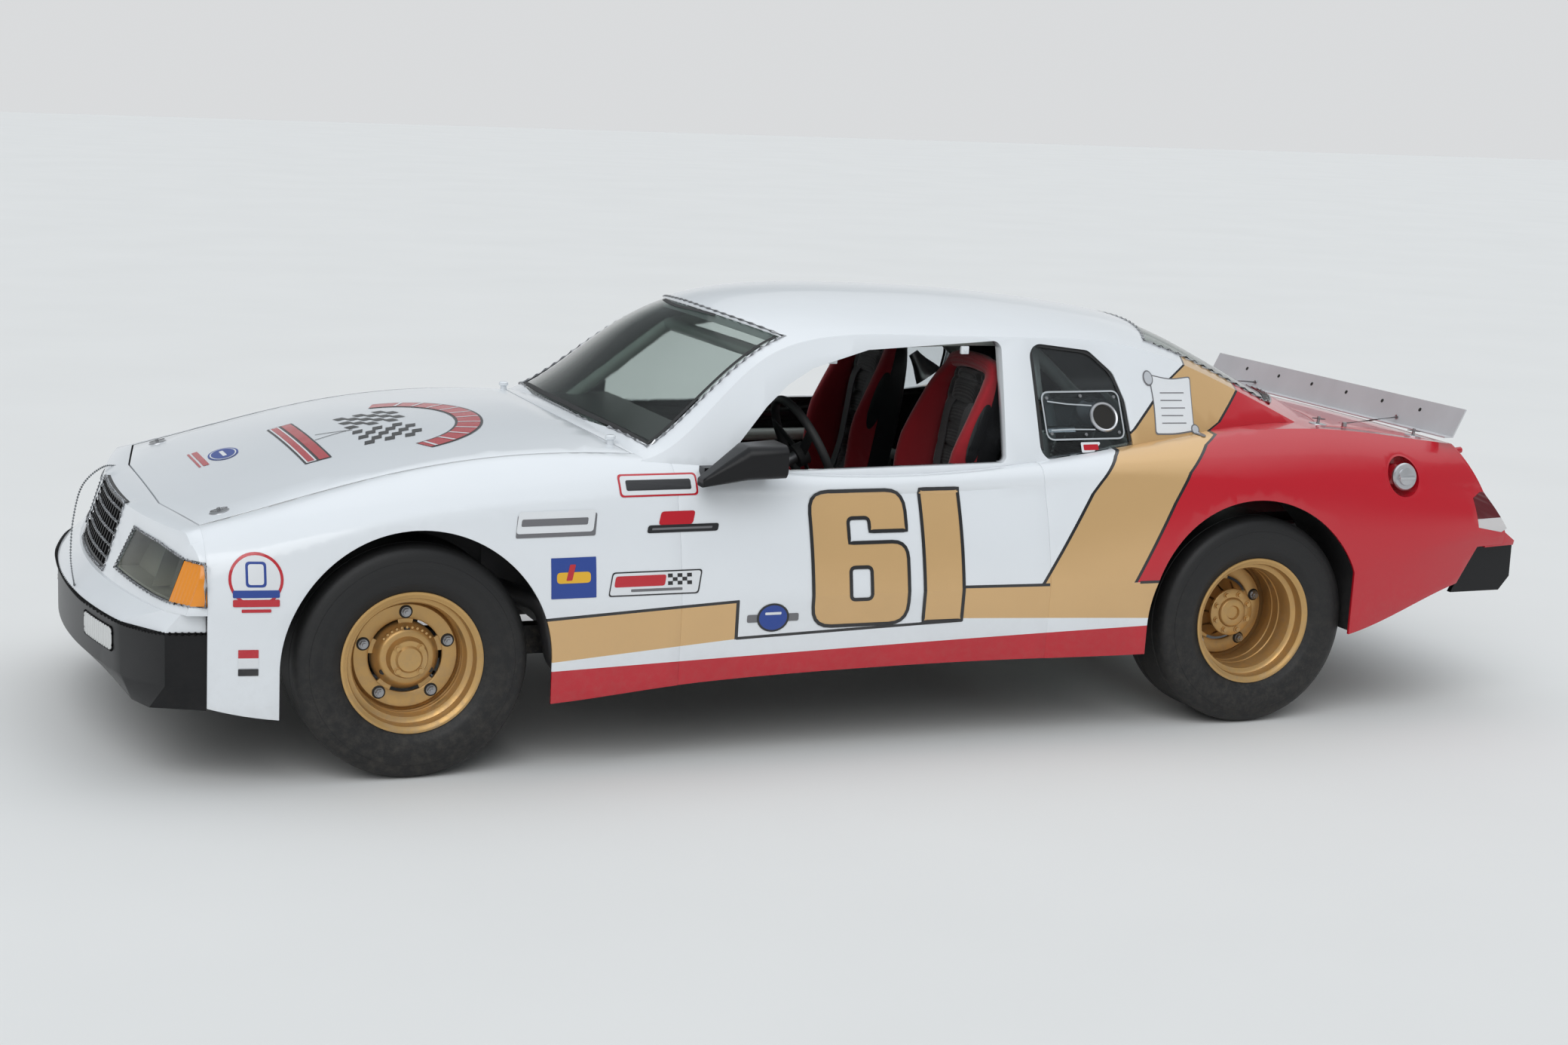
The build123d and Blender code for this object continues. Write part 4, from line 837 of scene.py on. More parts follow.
# half of the rim's outer and inner face: offset from the middle, radius
BARREL = [(0.1290, 0.2035), (0.1275, 0.2075), (0.1235, 0.2080), (0.1200, 0.2050), (0.1180, 0.1985),
          (0.1130, 0.1920), (0.1080, 0.1905), (0.0860, 0.1900), (0.0810, 0.1850), (0.0780, 0.1740),
          (0.0700, 0.1690)]
BARREL_BORE = [(0.1280, 0.2000), (0.1240, 0.1950), (0.1215, 0.1890), (0.1130, 0.1862), (0.0900, 0.1850),
               (0.0855, 0.1800), (0.0830, 0.1700), (0.0720, 0.1650)]
# offset of the lug face from the rim's middle, front and rear
FRONT_DISC = 0.030
REAR_DISC = -0.077
LUG_CIRCLE = 0.130
FIRST_LUG = 18
LUG_STEP = 72


class BuildWheels(bpy.types.Operator):
    """Deep rolled rims with a five-lug ring, hub bell and dust cap or drive plate"""
    bl_idname = "stock_car.wheels"
    bl_label = "Wheels"

    def execute(self, context):
        for name, centre in WHEELS.items():
            side = 1 if centre.y > 0 else -1
            front = name[0] == "f"
            body = "wheel_" + name
            disc = FRONT_DISC if front else REAR_DISC
            self.rim(name, centre, side, disc, body, context.scene.stock_car_sizes.wheel_steps)
            self.lug_ring(name, centre, side, disc, body)
            if front:
                self.front_hub(name, centre, side, disc, body)
            else:
                self.rear_hub(name, centre, side, disc, body)
            self.lugs(name, centre, side, disc, body)
        return {"FINISHED"}

    def rim(self, name, centre, side, disc, body, steps):
        """Barrel of the rim and the dished ring that carries the lugs."""
        outer = BARREL + [(-y, r) for y, r in reversed(BARREL)]
        bore = [(-y, r) for y, r in BARREL_BORE] + list(reversed(BARREL_BORE))
        bm = bmesh.new()
        lathe(bm, outer + bore, centre, steps, side)
        weld = 0.167 if disc > 0 else 0.1845
        dish = [(disc - 0.016, weld), (disc - 0.014, 0.160), (disc - 0.004, 0.156), (disc, 0.151),
                (disc, 0.113), (disc - 0.003, 0.109), (disc - 0.012, 0.109), (disc - 0.014, 0.148),
                (disc - 0.026, 0.154),
                (disc - 0.028, weld)]
        lathe(bm, dish, centre, steps, side)
        for offset in (0.032, 0.052) if disc > 0 else (-0.020, 0.020):
            roll = [(offset - 0.004, 0.1655), (offset, 0.1625), (offset + 0.004, 0.1655), (offset, 0.1665)]
            lathe(bm, roll, centre, steps, side)
        add_solid("rim_barrel_" + name, bm, "gold_wheel", body, replaces=("rim_" + name,), slot="gold_rim")

    def lug_ring(self, name, centre, side, disc, body):
        """Five bridges that join the hub bell to the ring, with open arcs between them."""
        bm = bmesh.new()
        steps = 10
        corners = ((disc - 0.004, 0.132), (disc - 0.004, 0.092), (disc - 0.016, 0.092), (disc - 0.016, 0.132))
        half = math.radians(12)
        for k in range(5):
            start = math.radians(FIRST_LUG + LUG_STEP * k) - half
            add_skin(bm, [[bm.verts.new(polar(centre, side, offset, radius, start + 2 * half * i / steps))
                           for offset, radius in corners] for i in range(steps + 1)])
        add_solid("hub_bridges_" + name, bm, "gold_wheel", body, slot="gold_rim")

    def front_hub(self, name, centre, side, disc, body):
        """Hub bell with bumps, dark discs of painted shade for its holes, and a round dust cap held by four
        bolts.
        """
        bm = bmesh.new()
        bell = [(disc - 0.030, 0.100), (disc - 0.010, 0.100), (disc - 0.004, 0.097), (disc + 0.010, 0.088),
                (disc + 0.020, 0.082), (disc + 0.024, 0.074), (disc + 0.025, 0.062), (disc + 0.036, 0.058),
                (disc + 0.046, 0.0565), (disc + 0.050, 0.054), (disc + 0.0505, 0.040), (disc + 0.054, 0.037),
                (disc + 0.0575, 0.034), (disc + 0.058, 0.030), (disc + 0.058, 0.0005), (disc - 0.030, 0.0005)]
        lathe(bm, bell, centre, 96, side)
        for k in range(11):
            at = polar(centre, side, disc + 0.014, 0.088, math.radians(40 + 10 * k))
            bolt(bm, at, (0, side, 0), 0.0042, 0.007, sides=12)
        for k in range(4):
            at = polar(centre, side, disc + 0.050, 0.047, math.radians(45 + 90 * k))
            bolt(bm, at, (0, side, 0), 0.0075, 0.008, washer=0.011)
        add_solid("front_hub_" + name, bm, "gold_wheel", body, slot="gold_rim")
        # painted shade: three dark discs stand for holes in the bell
        bm = bmesh.new()
        for degrees in (90, 210, 330):
            at = polar(centre, side, disc + 0.0145, 0.080, math.radians(degrees))
            bolt(bm, at, (0, side, 0), 0.0095, 0.0062, sides=20)
        add_solid("hub_holes_" + name, bm, "painted_hole_shade", body, slot="gold_rim")

    def rear_hub(self, name, centre, side, disc, body):
        """Hub bell with a drive plate: eight bolts round a stepped boss."""
        bm = bmesh.new()
        bell = [(disc - 0.030, 0.100), (disc - 0.004, 0.100), (disc + 0.006, 0.092), (disc + 0.040, 0.068),
                (disc + 0.056, 0.064), (disc + 0.060, 0.078), (disc + 0.070, 0.078), (disc + 0.072, 0.075),
                (disc + 0.072, 0.050), (disc + 0.080, 0.046), (disc + 0.082, 0.042), (disc + 0.082, 0.024),
                (disc + 0.074, 0.020), (disc + 0.074, 0.0005), (disc - 0.030, 0.0005)]
        lathe(bm, bell, centre, 96, side)
        for k in range(8):
            at = polar(centre, side, disc + 0.072, 0.063, math.radians(22.5 + 45 * k))
            bolt(bm, at, (0, side, 0), 0.008, 0.009, washer=0.0115)
        for k in range(10):
            low = polar(centre, side, disc + 0.004, 0.090, math.radians(36 * k))
            high = polar(centre, side, disc + 0.054, 0.066, math.radians(36 * k))
            sweep(bm, [low, high], 0.006, 8)
        add_solid("rear_hub_" + name, bm, "gold_wheel", body, slot="gold_rim")

    def lugs(self, name, centre, side, disc, body):
        """Five nuts with their studs, in pockets shown as dark discs of painted shade."""
        nuts = bmesh.new()
        pockets = bmesh.new()
        for k in range(5):
            at = polar(centre, side, disc, LUG_CIRCLE, math.radians(FIRST_LUG + LUG_STEP * k))
            bolt(nuts, at + Vector((0, side * 0.001, 0)), (0, side, 0), 0.0125, 0.016, washer=0.0150)
            bolt(nuts, at + Vector((0, side * 0.015, 0)), (0, side, 0), 0.0065, 0.008, sides=16)
            # painted shade: a dark disc under each nut stands for its pocket
            bolt(pockets, at, (0, side, 0), 0.0200, 0.0016, sides=28)
        add_solid("lug_nuts_" + name, nuts, "bolt_steel", body, slot="gold_rim")
        add_solid("lug_pockets_" + name, pockets, "painted_hole_shade", body, slot="gold_rim")


# digits one unit wide and high: outlines of across, up and corner radius rows, holes after the outline
SIX = [[(0, 0, .2), (1, 0, .2), (1, .62, .16), (.39, .62, 0), (.39, .80, .05), (.61, .80, .05), (.61, .70, 0),
        (1, .70, 0), (1, 1, .2), (0, 1, .2)],
       [(.39, .2, .05), (.61, .2, .05), (.61, .44, .05), (.39, .44, .05)]]
ONE = [[(0, 0, 0), (1, 0, 0), (1, 1, 0), (0, 1, 0)]]
DIGIT_HEIGHT = 0.400
DIGIT_FOOT = 0.402
# what painted and stuck-on pieces have in common
DECAL = {"smooth": False, "slot": "white_paint"}


class BuildNumbers(bpy.types.Operator):
    """Gold race number with a black outline on both doors"""
    bl_idname = "stock_car.numbers"
    bl_label = "Race number"

    def execute(self, context):
        sizes = context.scene.stock_car_sizes
        # each digit's near and far end, ahead of mid-wheelbase, read from its own side
        for side, tag, spots in ((1, "left", ((SIX, 0.181, -0.135), (ONE, -0.188, -0.319))),
                                 (-1, "right", ((SIX, -0.319, -0.003), (ONE, 0.050, 0.181)))):
            tree = surface_of("side_" + tag)
            place = from_side(side)
            for index, (digit, start, end) in enumerate(spots):
                loops = []
                for loop in digit:
                    wide = abs(end - start)
                    line = rounded([(u * wide, v * DIGIT_HEIGHT, r * wide) for u, v, r in loop])
                    loops.append([(start - side * p.x, DIGIT_FOOT + p.y) for p in line])
                add_sheet(f"number_{tag}_{index}", "gold_decal", loops, tree, place, 0.0016, 0.012, **DECAL)
                add_line(f"number_line_{tag}_{index}", "black_decal", loops, sizes.outline, tree, place,
                         0.0024, **DECAL)
        return {"FINISHED"}


def oblong(u0, v0, u1, v1, radius=0.0, lean=0.0):
    """A rounded oblong outline, its top shifted by lean."""
    return rounded([(u0, v0, radius), (u1, v0, radius), (u1 + lean, v1, radius), (u0 + lean, v1, radius)])


def scaled(loop, share):
    """An outline drawn in or out about its own middle."""
    middle = sum((Vector(p) for p in loop), Vector((0, 0))) / len(loop)
    return [middle + (Vector(p) - middle) * share for p in loop]


def bead(name, line, radius, finish="chrome", flat=1.0):
    """A round bead along a closed line in space."""
    bm = bmesh.new()
    sweep(bm, line, radius, 8, closed=True, flat=flat)
    add_solid(name, bm, finish, slot="bare_aluminium")


# the nose's front face: its furthest place and that one's height, its lean, bow, corner and cheek
NOSE_TIP = 2.220
NOSE_TIP_HEIGHT = 0.440
NOSE_LEAN = 0.35
NOSE_BOW = 2.828
NOSE_CORNER = 0.815
CHEEK_SLOPE = 0.692
CHEEK_WIDTH = 0.065


def nose_face(y, z, lift):
    """A point on the nose's leaning front face, bowed between the corners and cut back at the cheeks."""
    bow = math.sqrt(NOSE_BOW ** 2 - min(abs(y), NOSE_CORNER) ** 2) - NOSE_BOW
    cheek = CHEEK_SLOPE * min(max(abs(y) - NOSE_CORNER, 0.0), CHEEK_WIDTH)
    return Vector((along(NOSE_TIP + bow - cheek - NOSE_LEAN * (z - NOSE_TIP_HEIGHT) + lift), y, z))


def disc_outline(u, v, radius, squash=1.0):
    """A round outline of 40 points, its height multiplied by squash."""
    turns = [2 * math.pi * k / 40 for k in range(40)]
    return [Vector((u + radius * math.cos(a), v + squash * radius * math.sin(a))) for a in turns]


class BuildDecals(bpy.types.Operator):
    """Plain stickers without lettering, at the scale of those on the flanks, and the chequered hood design"""
    bl_idname = "stock_car.decals"
    bl_label = "Stickers"

    def execute(self, context):
        self.flank(1, "left")
        self.flank(-1, "right")
        self.hood()
        return {"FINISHED"}

    def height(self, level):
        """How far a sticker on this level stands off the paint."""
        return 0.0008 + 0.0005 * level

    def lay(self, name, finish, loop, tree, place, body, level):
        """One sticker of a single colour."""
        add_sheet(name, finish, [loop], tree, place, self.height(level), body=body, **DECAL)

    def flank(self, side, tag):
        """The stickers of one side: badge, wedge, square, plate, dash, label and roundel."""
        tree = surface_of("fender_" + tag, "side_" + tag, "quarter_" + tag, "roof")
        place = from_side(side)
        # name, finish, outline and level of each sticker, from the nose back
        rows = [
            ("badge_ring", "red_paint", disc_outline(1.845, 0.606, 0.074), 1),
            ("badge_field", "scroll_paper", disc_outline(1.845, 0.606, 0.066), 2),
            ("badge_window", "blue_decal", oblong(1.873, 0.585, 1.817, 0.655, 0.012), 3),
            ("badge_pane", "scroll_paper", oblong(1.866, 0.592, 1.824, 0.648, 0.008), 4),
            ("badge_bar", "blue_decal", oblong(1.908, 0.556, 1.782, 0.577, 0.004), 3),
            ("badge_low_bar", "red_paint", oblong(1.908, 0.531, 1.782, 0.551, 0.004), 3),
            ("badge_foot", "red_paint", oblong(1.885, 0.515, 1.805, 0.524, 0.003), 3),
            ("stack_top", "red_paint", oblong(1.893, 0.384, 1.838, 0.408, 0.002), 1),
            ("stack_mid", "scroll_paper", oblong(1.893, 0.356, 1.838, 0.384), 1),
            ("stack_low", "black_decal", oblong(1.893, 0.333, 1.838, 0.353, 0.002), 1),
            ("wedge_shade", "grey_decal", oblong(1.108, 0.700, 0.866, 0.764, 0.006, -0.010), 1),
            ("wedge_face", "scroll_paper", oblong(1.106, 0.712, 0.872, 0.773, 0.010, -0.012), 2),
            ("wedge_bar", "grey_decal", oblong(1.090, 0.732, 0.888, 0.752, 0.005, -0.004), 3),
            ("square_back", "blue_decal", oblong(1.003, 0.522, 0.866, 0.640, 0.002), 1),
            ("square_bar", "yellow_decal", oblong(0.986, 0.566, 0.883, 0.598, 0.012), 2),
            ("square_slash", "red_paint", oblong(0.958, 0.574, 0.940, 0.620, 0.003, -0.012), 3),
            ("plate_back", "red_paint", oblong(0.782, 0.803, 0.535, 0.864, 0.012), 1),
            ("plate_face", "scroll_paper", oblong(0.776, 0.808, 0.541, 0.859, 0.010), 2),
            ("plate_bar", "black_decal", oblong(0.760, 0.820, 0.556, 0.848, 0.006), 3),
            ("dash_back", "red_paint", oblong(0.668, 0.722, 0.560, 0.760, 0.010, -0.012), 1),
            ("dash_bar", "black_decal", oblong(0.706, 0.700, 0.482, 0.722, 0.008, -0.006), 2),
            ("dash_line", "grey_decal", oblong(0.690, 0.708, 0.500, 0.714, 0.002, -0.002), 3),
            ("label_back", "black_decal", oblong(0.830, 0.521, 0.549, 0.592, 0.010, -0.014), 1),
            ("label_face", "scroll_paper", oblong(0.826, 0.525, 0.553, 0.588, 0.009, -0.013), 2),
            ("label_bar", "red_paint", oblong(0.812, 0.548, 0.655, 0.580, 0.008, -0.006), 3),
            ("label_line", "grey_decal", oblong(0.760, 0.533, 0.600, 0.541, 0.002), 3),
            ("roundel_bar", "grey_decal", oblong(0.392, 0.424, 0.226, 0.448, 0.006), 1),
            ("roundel_back", "black_decal", disc_outline(0.309, 0.437, 0.052, 0.85), 2),
            ("roundel_face", "blue_decal", disc_outline(0.309, 0.437, 0.045, 0.85), 3),
            ("roundel_shine", "scroll_paper", oblong(0.335, 0.446, 0.283, 0.454, 0.003), 4),
        ]
        for name, finish, loop, level in rows:
            self.lay(f"{name}_{tag}", finish, loop, tree, place, "chassis", level)
        corners = [(0.645 - 0.015 * i, 0.549 + 0.011 * j) for i in range(5) for j in range(3)
                   if (i + j) % 2 == 0]
        cells = [oblong(u, v, u - 0.015, v + 0.011) for u, v in corners]
        self.checks("label_checks_" + tag, cells, tree, place, "chassis", 3)

    def checks(self, name, cells, tree, place, body, level):
        """Black cells as one piece."""
        meshes = [pressed_mesh(name, [cell], tree, place, 0.025, self.height(level)) for cell in cells]
        add_piece(name, joined(name, meshes), "black_decal", body, **DECAL)

    def arc_point(self, degrees, out=0.0):
        """A place on the hood's arc, or out from it."""
        a = math.radians(degrees)
        return Vector((1.345 - (0.285 + out) * math.cos(a), 0.115 + (0.385 + out) * math.sin(a)))

    def hood(self):
        """A generic motor-sport design: two chequered fields under a red arc."""
        tree = surface_of("hood")
        cells = []
        for sign in (1, -1):
            for i in range(6):
                for j in range(5):
                    if (i + j) % 2 == 0:
                        u = 1.415 - 0.031 * i
                        v = 0.105 + sign * (0.022 + 0.044 * j)
                        cells.append(oblong(u, v, u - 0.031, v + sign * 0.044, 0.0, 0.010))
        self.checks("hood_checks", cells, tree, from_above, "hood", 1)
        poles = [[(1.410, 0.105), (1.515, 0.045)], [(1.415, 0.095), (1.530, 0.120)]]
        arc = [self.arc_point(-76 + 152 * k / 36) for k in range(37)]
        gaps = [[self.arc_point(13.0 * k + 6.5, out) for out in (-0.035, 0.035)] for k in range(-5, 6)]
        for name, finish, lines, width, lift in (
                ("hood_poles", "black_decal", poles, 0.005, 0.0016),
                ("hood_arc_line", "black_decal", [arc], 0.086, self.height(1)),
                ("hood_arc", "red_paint", [arc], 0.070, self.height(2)),
                ("hood_arc_gaps", "white_paint", gaps, 0.010, 0.0024)):
            add_line(name, finish, lines, width, tree, from_above, lift, False, "hood", **DECAL)
        for name, finish, loop, level in (
                ("hood_bar_back", "black_decal", oblong(1.612, -0.255, 1.532, 0.395, 0.005), 1),
                ("hood_bar_upper", "red_paint", oblong(1.568, -0.248, 1.538, 0.388, 0.004), 2),
                ("hood_bar_lower", "scroll_paper", oblong(1.606, -0.248, 1.576, 0.388, 0.004), 2),
                ("hood_bar_middle", "red_paint", oblong(1.601, -0.240, 1.581, 0.380, 0.003), 3),
                ("hood_badge", "blue_decal", disc_outline(1.778, -0.080, 0.045, 2.1), 1),
                ("hood_badge_ring", "scroll_paper", disc_outline(1.778, -0.080, 0.039, 2.2), 2),
                ("hood_badge_face", "blue_decal", disc_outline(1.778, -0.080, 0.035, 2.25), 3),
                ("hood_badge_bar", "scroll_paper", oblong(1.784, -0.125, 1.772, -0.035, 0.004), 4),
                ("hood_stripe", "red_paint", oblong(1.852, -0.240, 1.834, 0.015, 0.003), 1),
                ("hood_stripe_low", "red_paint", oblong(1.866, -0.240, 1.859, 0.015, 0.002), 1)):
            self.lay(name, finish, loop, tree, from_above, "hood", level)


# one seat: pad line x, z, side wing x, z and half width, from the cushion's front to the top of the back
SEAT = [(-0.105, 0.492, -0.100, 0.540, 0.216), (-0.200, 0.486, -0.200, 0.575, 0.220),
        (-0.300, 0.478, -0.292, 0.602, 0.222), (-0.400, 0.470, -0.362, 0.640, 0.222),
        (-0.478, 0.475, -0.385, 0.680, 0.222), (-0.492, 0.560, -0.394, 0.740, 0.222),
        (-0.508, 0.660, -0.402, 0.800, 0.222), (-0.524, 0.760, -0.415, 0.850, 0.222),
        (-0.540, 0.860, -0.430, 0.890, 0.221), (-0.556, 0.960, -0.470, 0.970, 0.216),
        (-0.570, 1.050, -0.512, 1.050, 0.204), (-0.580, 1.110, -0.550, 1.110, 0.178)]


class BuildSeats(bpy.types.Operator):
    """Two bucket seats: sewn cushions and side bolsters shaped as filled pads, a shell and a harness"""
    bl_idname = "stock_car.seats"
    bl_label = "Seats"

    def execute(self, context):
        for tag, middle in (("left", 0.400), ("right", -0.400)):
            # rows a few millimetres apart, so that the sewn seams show
            cushion = self.pad("seat_cushion_" + tag, middle, blend_rows(SEAT[:4], 14), 0.034, (0.115, 0.070))
            back = self.pad("seat_back_" + tag, middle, blend_rows(SEAT[5:], 14), 0.032, (0.070, 0.075))
            wings = self.wings("seat_bolster_" + tag, middle)
            self.shell("seat_shell_" + tag, middle)
            self.inserts("seat_inserts_" + tag, wings.data)
            self.mounts("seat_mounts_" + tag, middle)
            self.harness("harness_" + tag, middle)
        return {"FINISHED"}

    def inserts(self, name, wings):
        """A ribbed black patch sewn on the outer face of each bolster."""
        tree = BVHTree.FromPolygons([v.co for v in wings.vertices], [p.vertices[:] for p in wings.polygons])
        lean = 0.35
        middle = 0.930
        outline = disc_outline(-0.490, middle, 0.025, 3.8)
        leaf = [Vector((p.x - lean * (p.y - middle), p.y)) for p in outline]
        ribs = [[Vector((u - lean * t, middle + t)) for t in (-0.08, -0.04, 0.0, 0.04, 0.08)]
                for u in (-0.502, -0.490, -0.478)]
        meshes = []
        for side in (1, -1):
            place = from_side(side)
            meshes += [pressed_mesh("patch", [leaf], tree, place, 0.012, 0.0025),
                       band_mesh("ribs", ribs, 0.005, tree, place, 0.0045, closed=False),
                       band_mesh("welt", [leaf], 0.005, tree, place, 0.0040)]
        add_piece(name, joined(name, meshes), "black_leather", "chassis", replaces=("seats",))

    def mounts(self, name, middle):
        """Two rails with feet that carry the shell on the floor."""
        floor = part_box("seats")[0].z
        bm = bmesh.new()
        for side in (1, -1):
            y = middle + side * 0.150
            block(bm, (along(-0.460), y - 0.014, 0.418), (along(-0.120), y + 0.014, 0.440), 0.003)
            for x in (along(-0.440), along(-0.140)):
                block(bm, (x - 0.012, y - 0.012, floor + 0.004), (x + 0.012, y + 0.012, 0.420), 0.002)
                block(bm, (x - 0.030, y - 0.022, floor), (x + 0.030, y + 0.022, floor + 0.005), 0.001)
                bolt(bm, (x + 0.021, y, floor + 0.005), (0, 0, 1), 0.006, 0.005)
        add_solid(name, bm, "frame_paint", replaces=("seats",))

    def pad(self, name, middle, rows, thick, seams):
        """A crowned pad with seams sewn across it and a groove down each side."""
        bm = bmesh.new()
        sides = 22
        length = 0.0
        start, pitch = seams
        rings = []
        for i, (x, z, _, _, half) in enumerate(rows):
            before = rows[max(i - 1, 0)]
            after = rows[min(i + 1, len(rows) - 1)]
            ahead = Vector((after[0] - before[0], 0, after[1] - before[1])).normalized()
            out = Vector((-ahead.z, 0, ahead.x))
            if out.x + out.z < 0:
                out.negate()
            if i:
                length += math.hypot(x - before[0], z - before[1])
            nearest = abs((length - start) / pitch - round((length - start) / pitch)) * pitch
            groove = 0.42 * math.exp(-(nearest / 0.008) ** 2)
            share = min(1.0, length / 0.03, (len(rows) - 1 - i) / 4)
            wide = half - 0.052
            tops = []
            lows = []
            for k in range(sides + 1):
                u = -1 + 2 * k / sides
                edge = (1 - abs(u) ** 3.2) ** 0.5
                rise = thick * edge * (0.35 + 0.65 * math.sqrt(share)) * (1 - groove * (1 - u * u) ** 0.3)
                rise *= 1 - 0.25 * math.exp(-((abs(u) - 0.62) / 0.05) ** 2)
                at = Vector((along(x), middle + wide * u, z))
                tops.append(bm.verts.new(at + out * rise))
                lows.append(bm.verts.new(at - out * 0.018 * (0.4 + 0.6 * edge)))
            rings.append(tops + lows[::-1])
        add_skin(bm, rings)
        return add_solid(name, bm, "black_cloth", replaces=("seats",))

    def wings(self, name, middle):
        """One filled roll up each side and over the top."""
        side = blend_rows(SEAT, 6)
        spine = []
        for x, z, wx, wz, half in side:
            spine.append(((x, half - 0.030, z), (wx, half - 0.020, wz)))
        for k in range(1, 12):
            a = math.pi * k / 12
            y = 0.146 * math.cos(a)
            top = 1.120 + 0.022 * math.sin(a)
            spine.append(((-0.584, y, top), (-0.556, y, top + 0.004)))
        for x, z, wx, wz, half in side[::-1]:
            spine.append(((x, -half + 0.030, z), (wx, -half + 0.020, wz)))
        bm = bmesh.new()
        rings = []
        count = len(spine)
        middles = [(Vector(a) + Vector(b)) / 2 for a, b in spine]
        seam_step = 0.16
        run = 0.0
        for i, (low, high) in enumerate(spine):
            if i:
                run += (middles[i] - middles[i - 1]).length
            forward = Vector(high) - Vector(low)
            deep = forward.length / 2 + 0.010
            forward.normalize()
            ahead = (middles[min(i + 1, count - 1)] - middles[max(i - 1, 0)]).normalized()
            across = ahead.cross(forward).normalized()
            end = min(i, count - 1 - i)
            share = (0.35, 0.72, 0.90)[end] if end < 3 else 1.0
            nearest = (run / seam_step - round(run / seam_step)) * seam_step
            puff = 1 - 0.10 * math.exp(-(nearest / 0.007) ** 2)
            ring = []
            for k in range(20):
                a = 2 * math.pi * k / 20
                c, s = math.cos(a), math.sin(a)
                c = math.copysign(abs(c) ** 0.62, c)
                s = math.copysign(abs(s) ** 0.80, s)
                at = middles[i] + forward * (deep * share * c) + across * (0.027 * share * puff * s)
                ring.append(bm.verts.new((along(at.x), middle + at.y, at.z)))
            rings.append(ring)
        add_skin(bm, rings)
        return add_solid(name, bm, "red_cloth", replaces=("seats",))

    def shell(self, name, middle):
        """The moulded shell behind the pads, wrapped a third of the way round the wings."""
        bm = bmesh.new()
        rings = []
        for x, z, wx, wz, half in blend_rows(SEAT, 5):
            forward = Vector((wx - x, 0, wz - z))
            deep = forward.length
            forward.normalize()
            wide = half + 0.004
            edge = 0.42 * deep
            outer = rounded([(edge, wide, 0), (-0.044, wide - 0.012, 0.030), (-0.044, 0.012 - wide, 0.030),
                             (edge, -wide, 0)], 4)
            inner = rounded([(edge, wide - 0.006, 0), (-0.036, wide - 0.018, 0.028),
                             (-0.036, 0.018 - wide, 0.028), (edge, 0.006 - wide, 0)], 4)
            ring = []
            for p in outer + inner[::-1]:
                at = Vector((x, 0, z)) + forward * p.x
                ring.append(bm.verts.new((along(at.x), middle + p.y, at.z)))
            rings.append(ring)
        add_skin(bm, rings)
        for side in (1, -1):
            for x, z in ((-0.30, 0.500), (-0.44, 0.560), (-0.50, 0.800)):
                bolt(bm, (along(x), middle + side * 0.225, z), (0, side, 0), 0.008, 0.004, washer=0.013)
        add_solid(name, bm, "black_leather", replaces=("seats",))

    def harness(self, name, middle):
        """Webbing from the shoulders, the hips and the cushion to one buckle."""
        bm = bmesh.new()
        shoulder = [(-0.566, 0.075, 1.030), (-0.520, 0.072, 0.985), (-0.494, 0.065, 0.860),
                    (-0.468, 0.055, 0.740), (-0.420, 0.040, 0.630), (-0.345, 0.016, 0.566)]
        hip = [(-0.470, 0.165, 0.520), (-0.430, 0.140, 0.548), (-0.385, 0.080, 0.560), (-0.345, 0.024, 0.562)]
        crotch = [(-0.235, 0, 0.512), (-0.290, 0, 0.545), (-0.325, 0, 0.560)]
        for path, sign, steps in ((shoulder, 1, 8), (hip, 1, 8), (shoulder, -1, 8), (hip, -1, 8),
                                  (crotch, 1, 6)):
            line = smooth_path([(along(x), middle + sign * y, z) for x, y, z in path], steps)
            self.web(bm, line, 0.046, Vector((0.3, 0, 1)) if path is hip else Vector((0, 1, 0)))
        add_solid(name, bm, "webbing")
        lap = Vector((along(-0.335), middle, 0.560))
        facing = (0.35, 0, 0.94)
        bm = bmesh.new()
        turned(bm, [(0.0, 0.0), (0.0, 0.030), (0.012, 0.034), (0.020, 0.030), (0.022, 0.0)], lap, facing, 32)
        bolt(bm, lap + Vector((0.008, 0, 0.021)), facing, 0.012, 0.006, sides=24)
        add_solid(name + "_buckle", bm, "bolt_steel")

    def web(self, bm, line, wide, across):
        """A flat strap along a line, three millimetres thick, its width along Y or square to across."""
        section = ((-1, -1), (0, -1.3), (1, -1), (1, 1), (0, 1.3), (-1, 1))
        rings = []
        count = len(line)
        for i, point in enumerate(line):
            ahead = (line[min(i + 1, count - 1)] - line[max(i - 1, 0)]).normalized()
            if abs(across.y) > 0.5:
                side = (across - ahead * across.dot(ahead)).normalized()
            else:
                side = ahead.cross(across).normalized()
            face = side.cross(ahead).normalized() * 0.0015
            rings.append([bm.verts.new(point + side * wide * a / 2 + face * b) for a, b in section])
        add_skin(bm, rings)


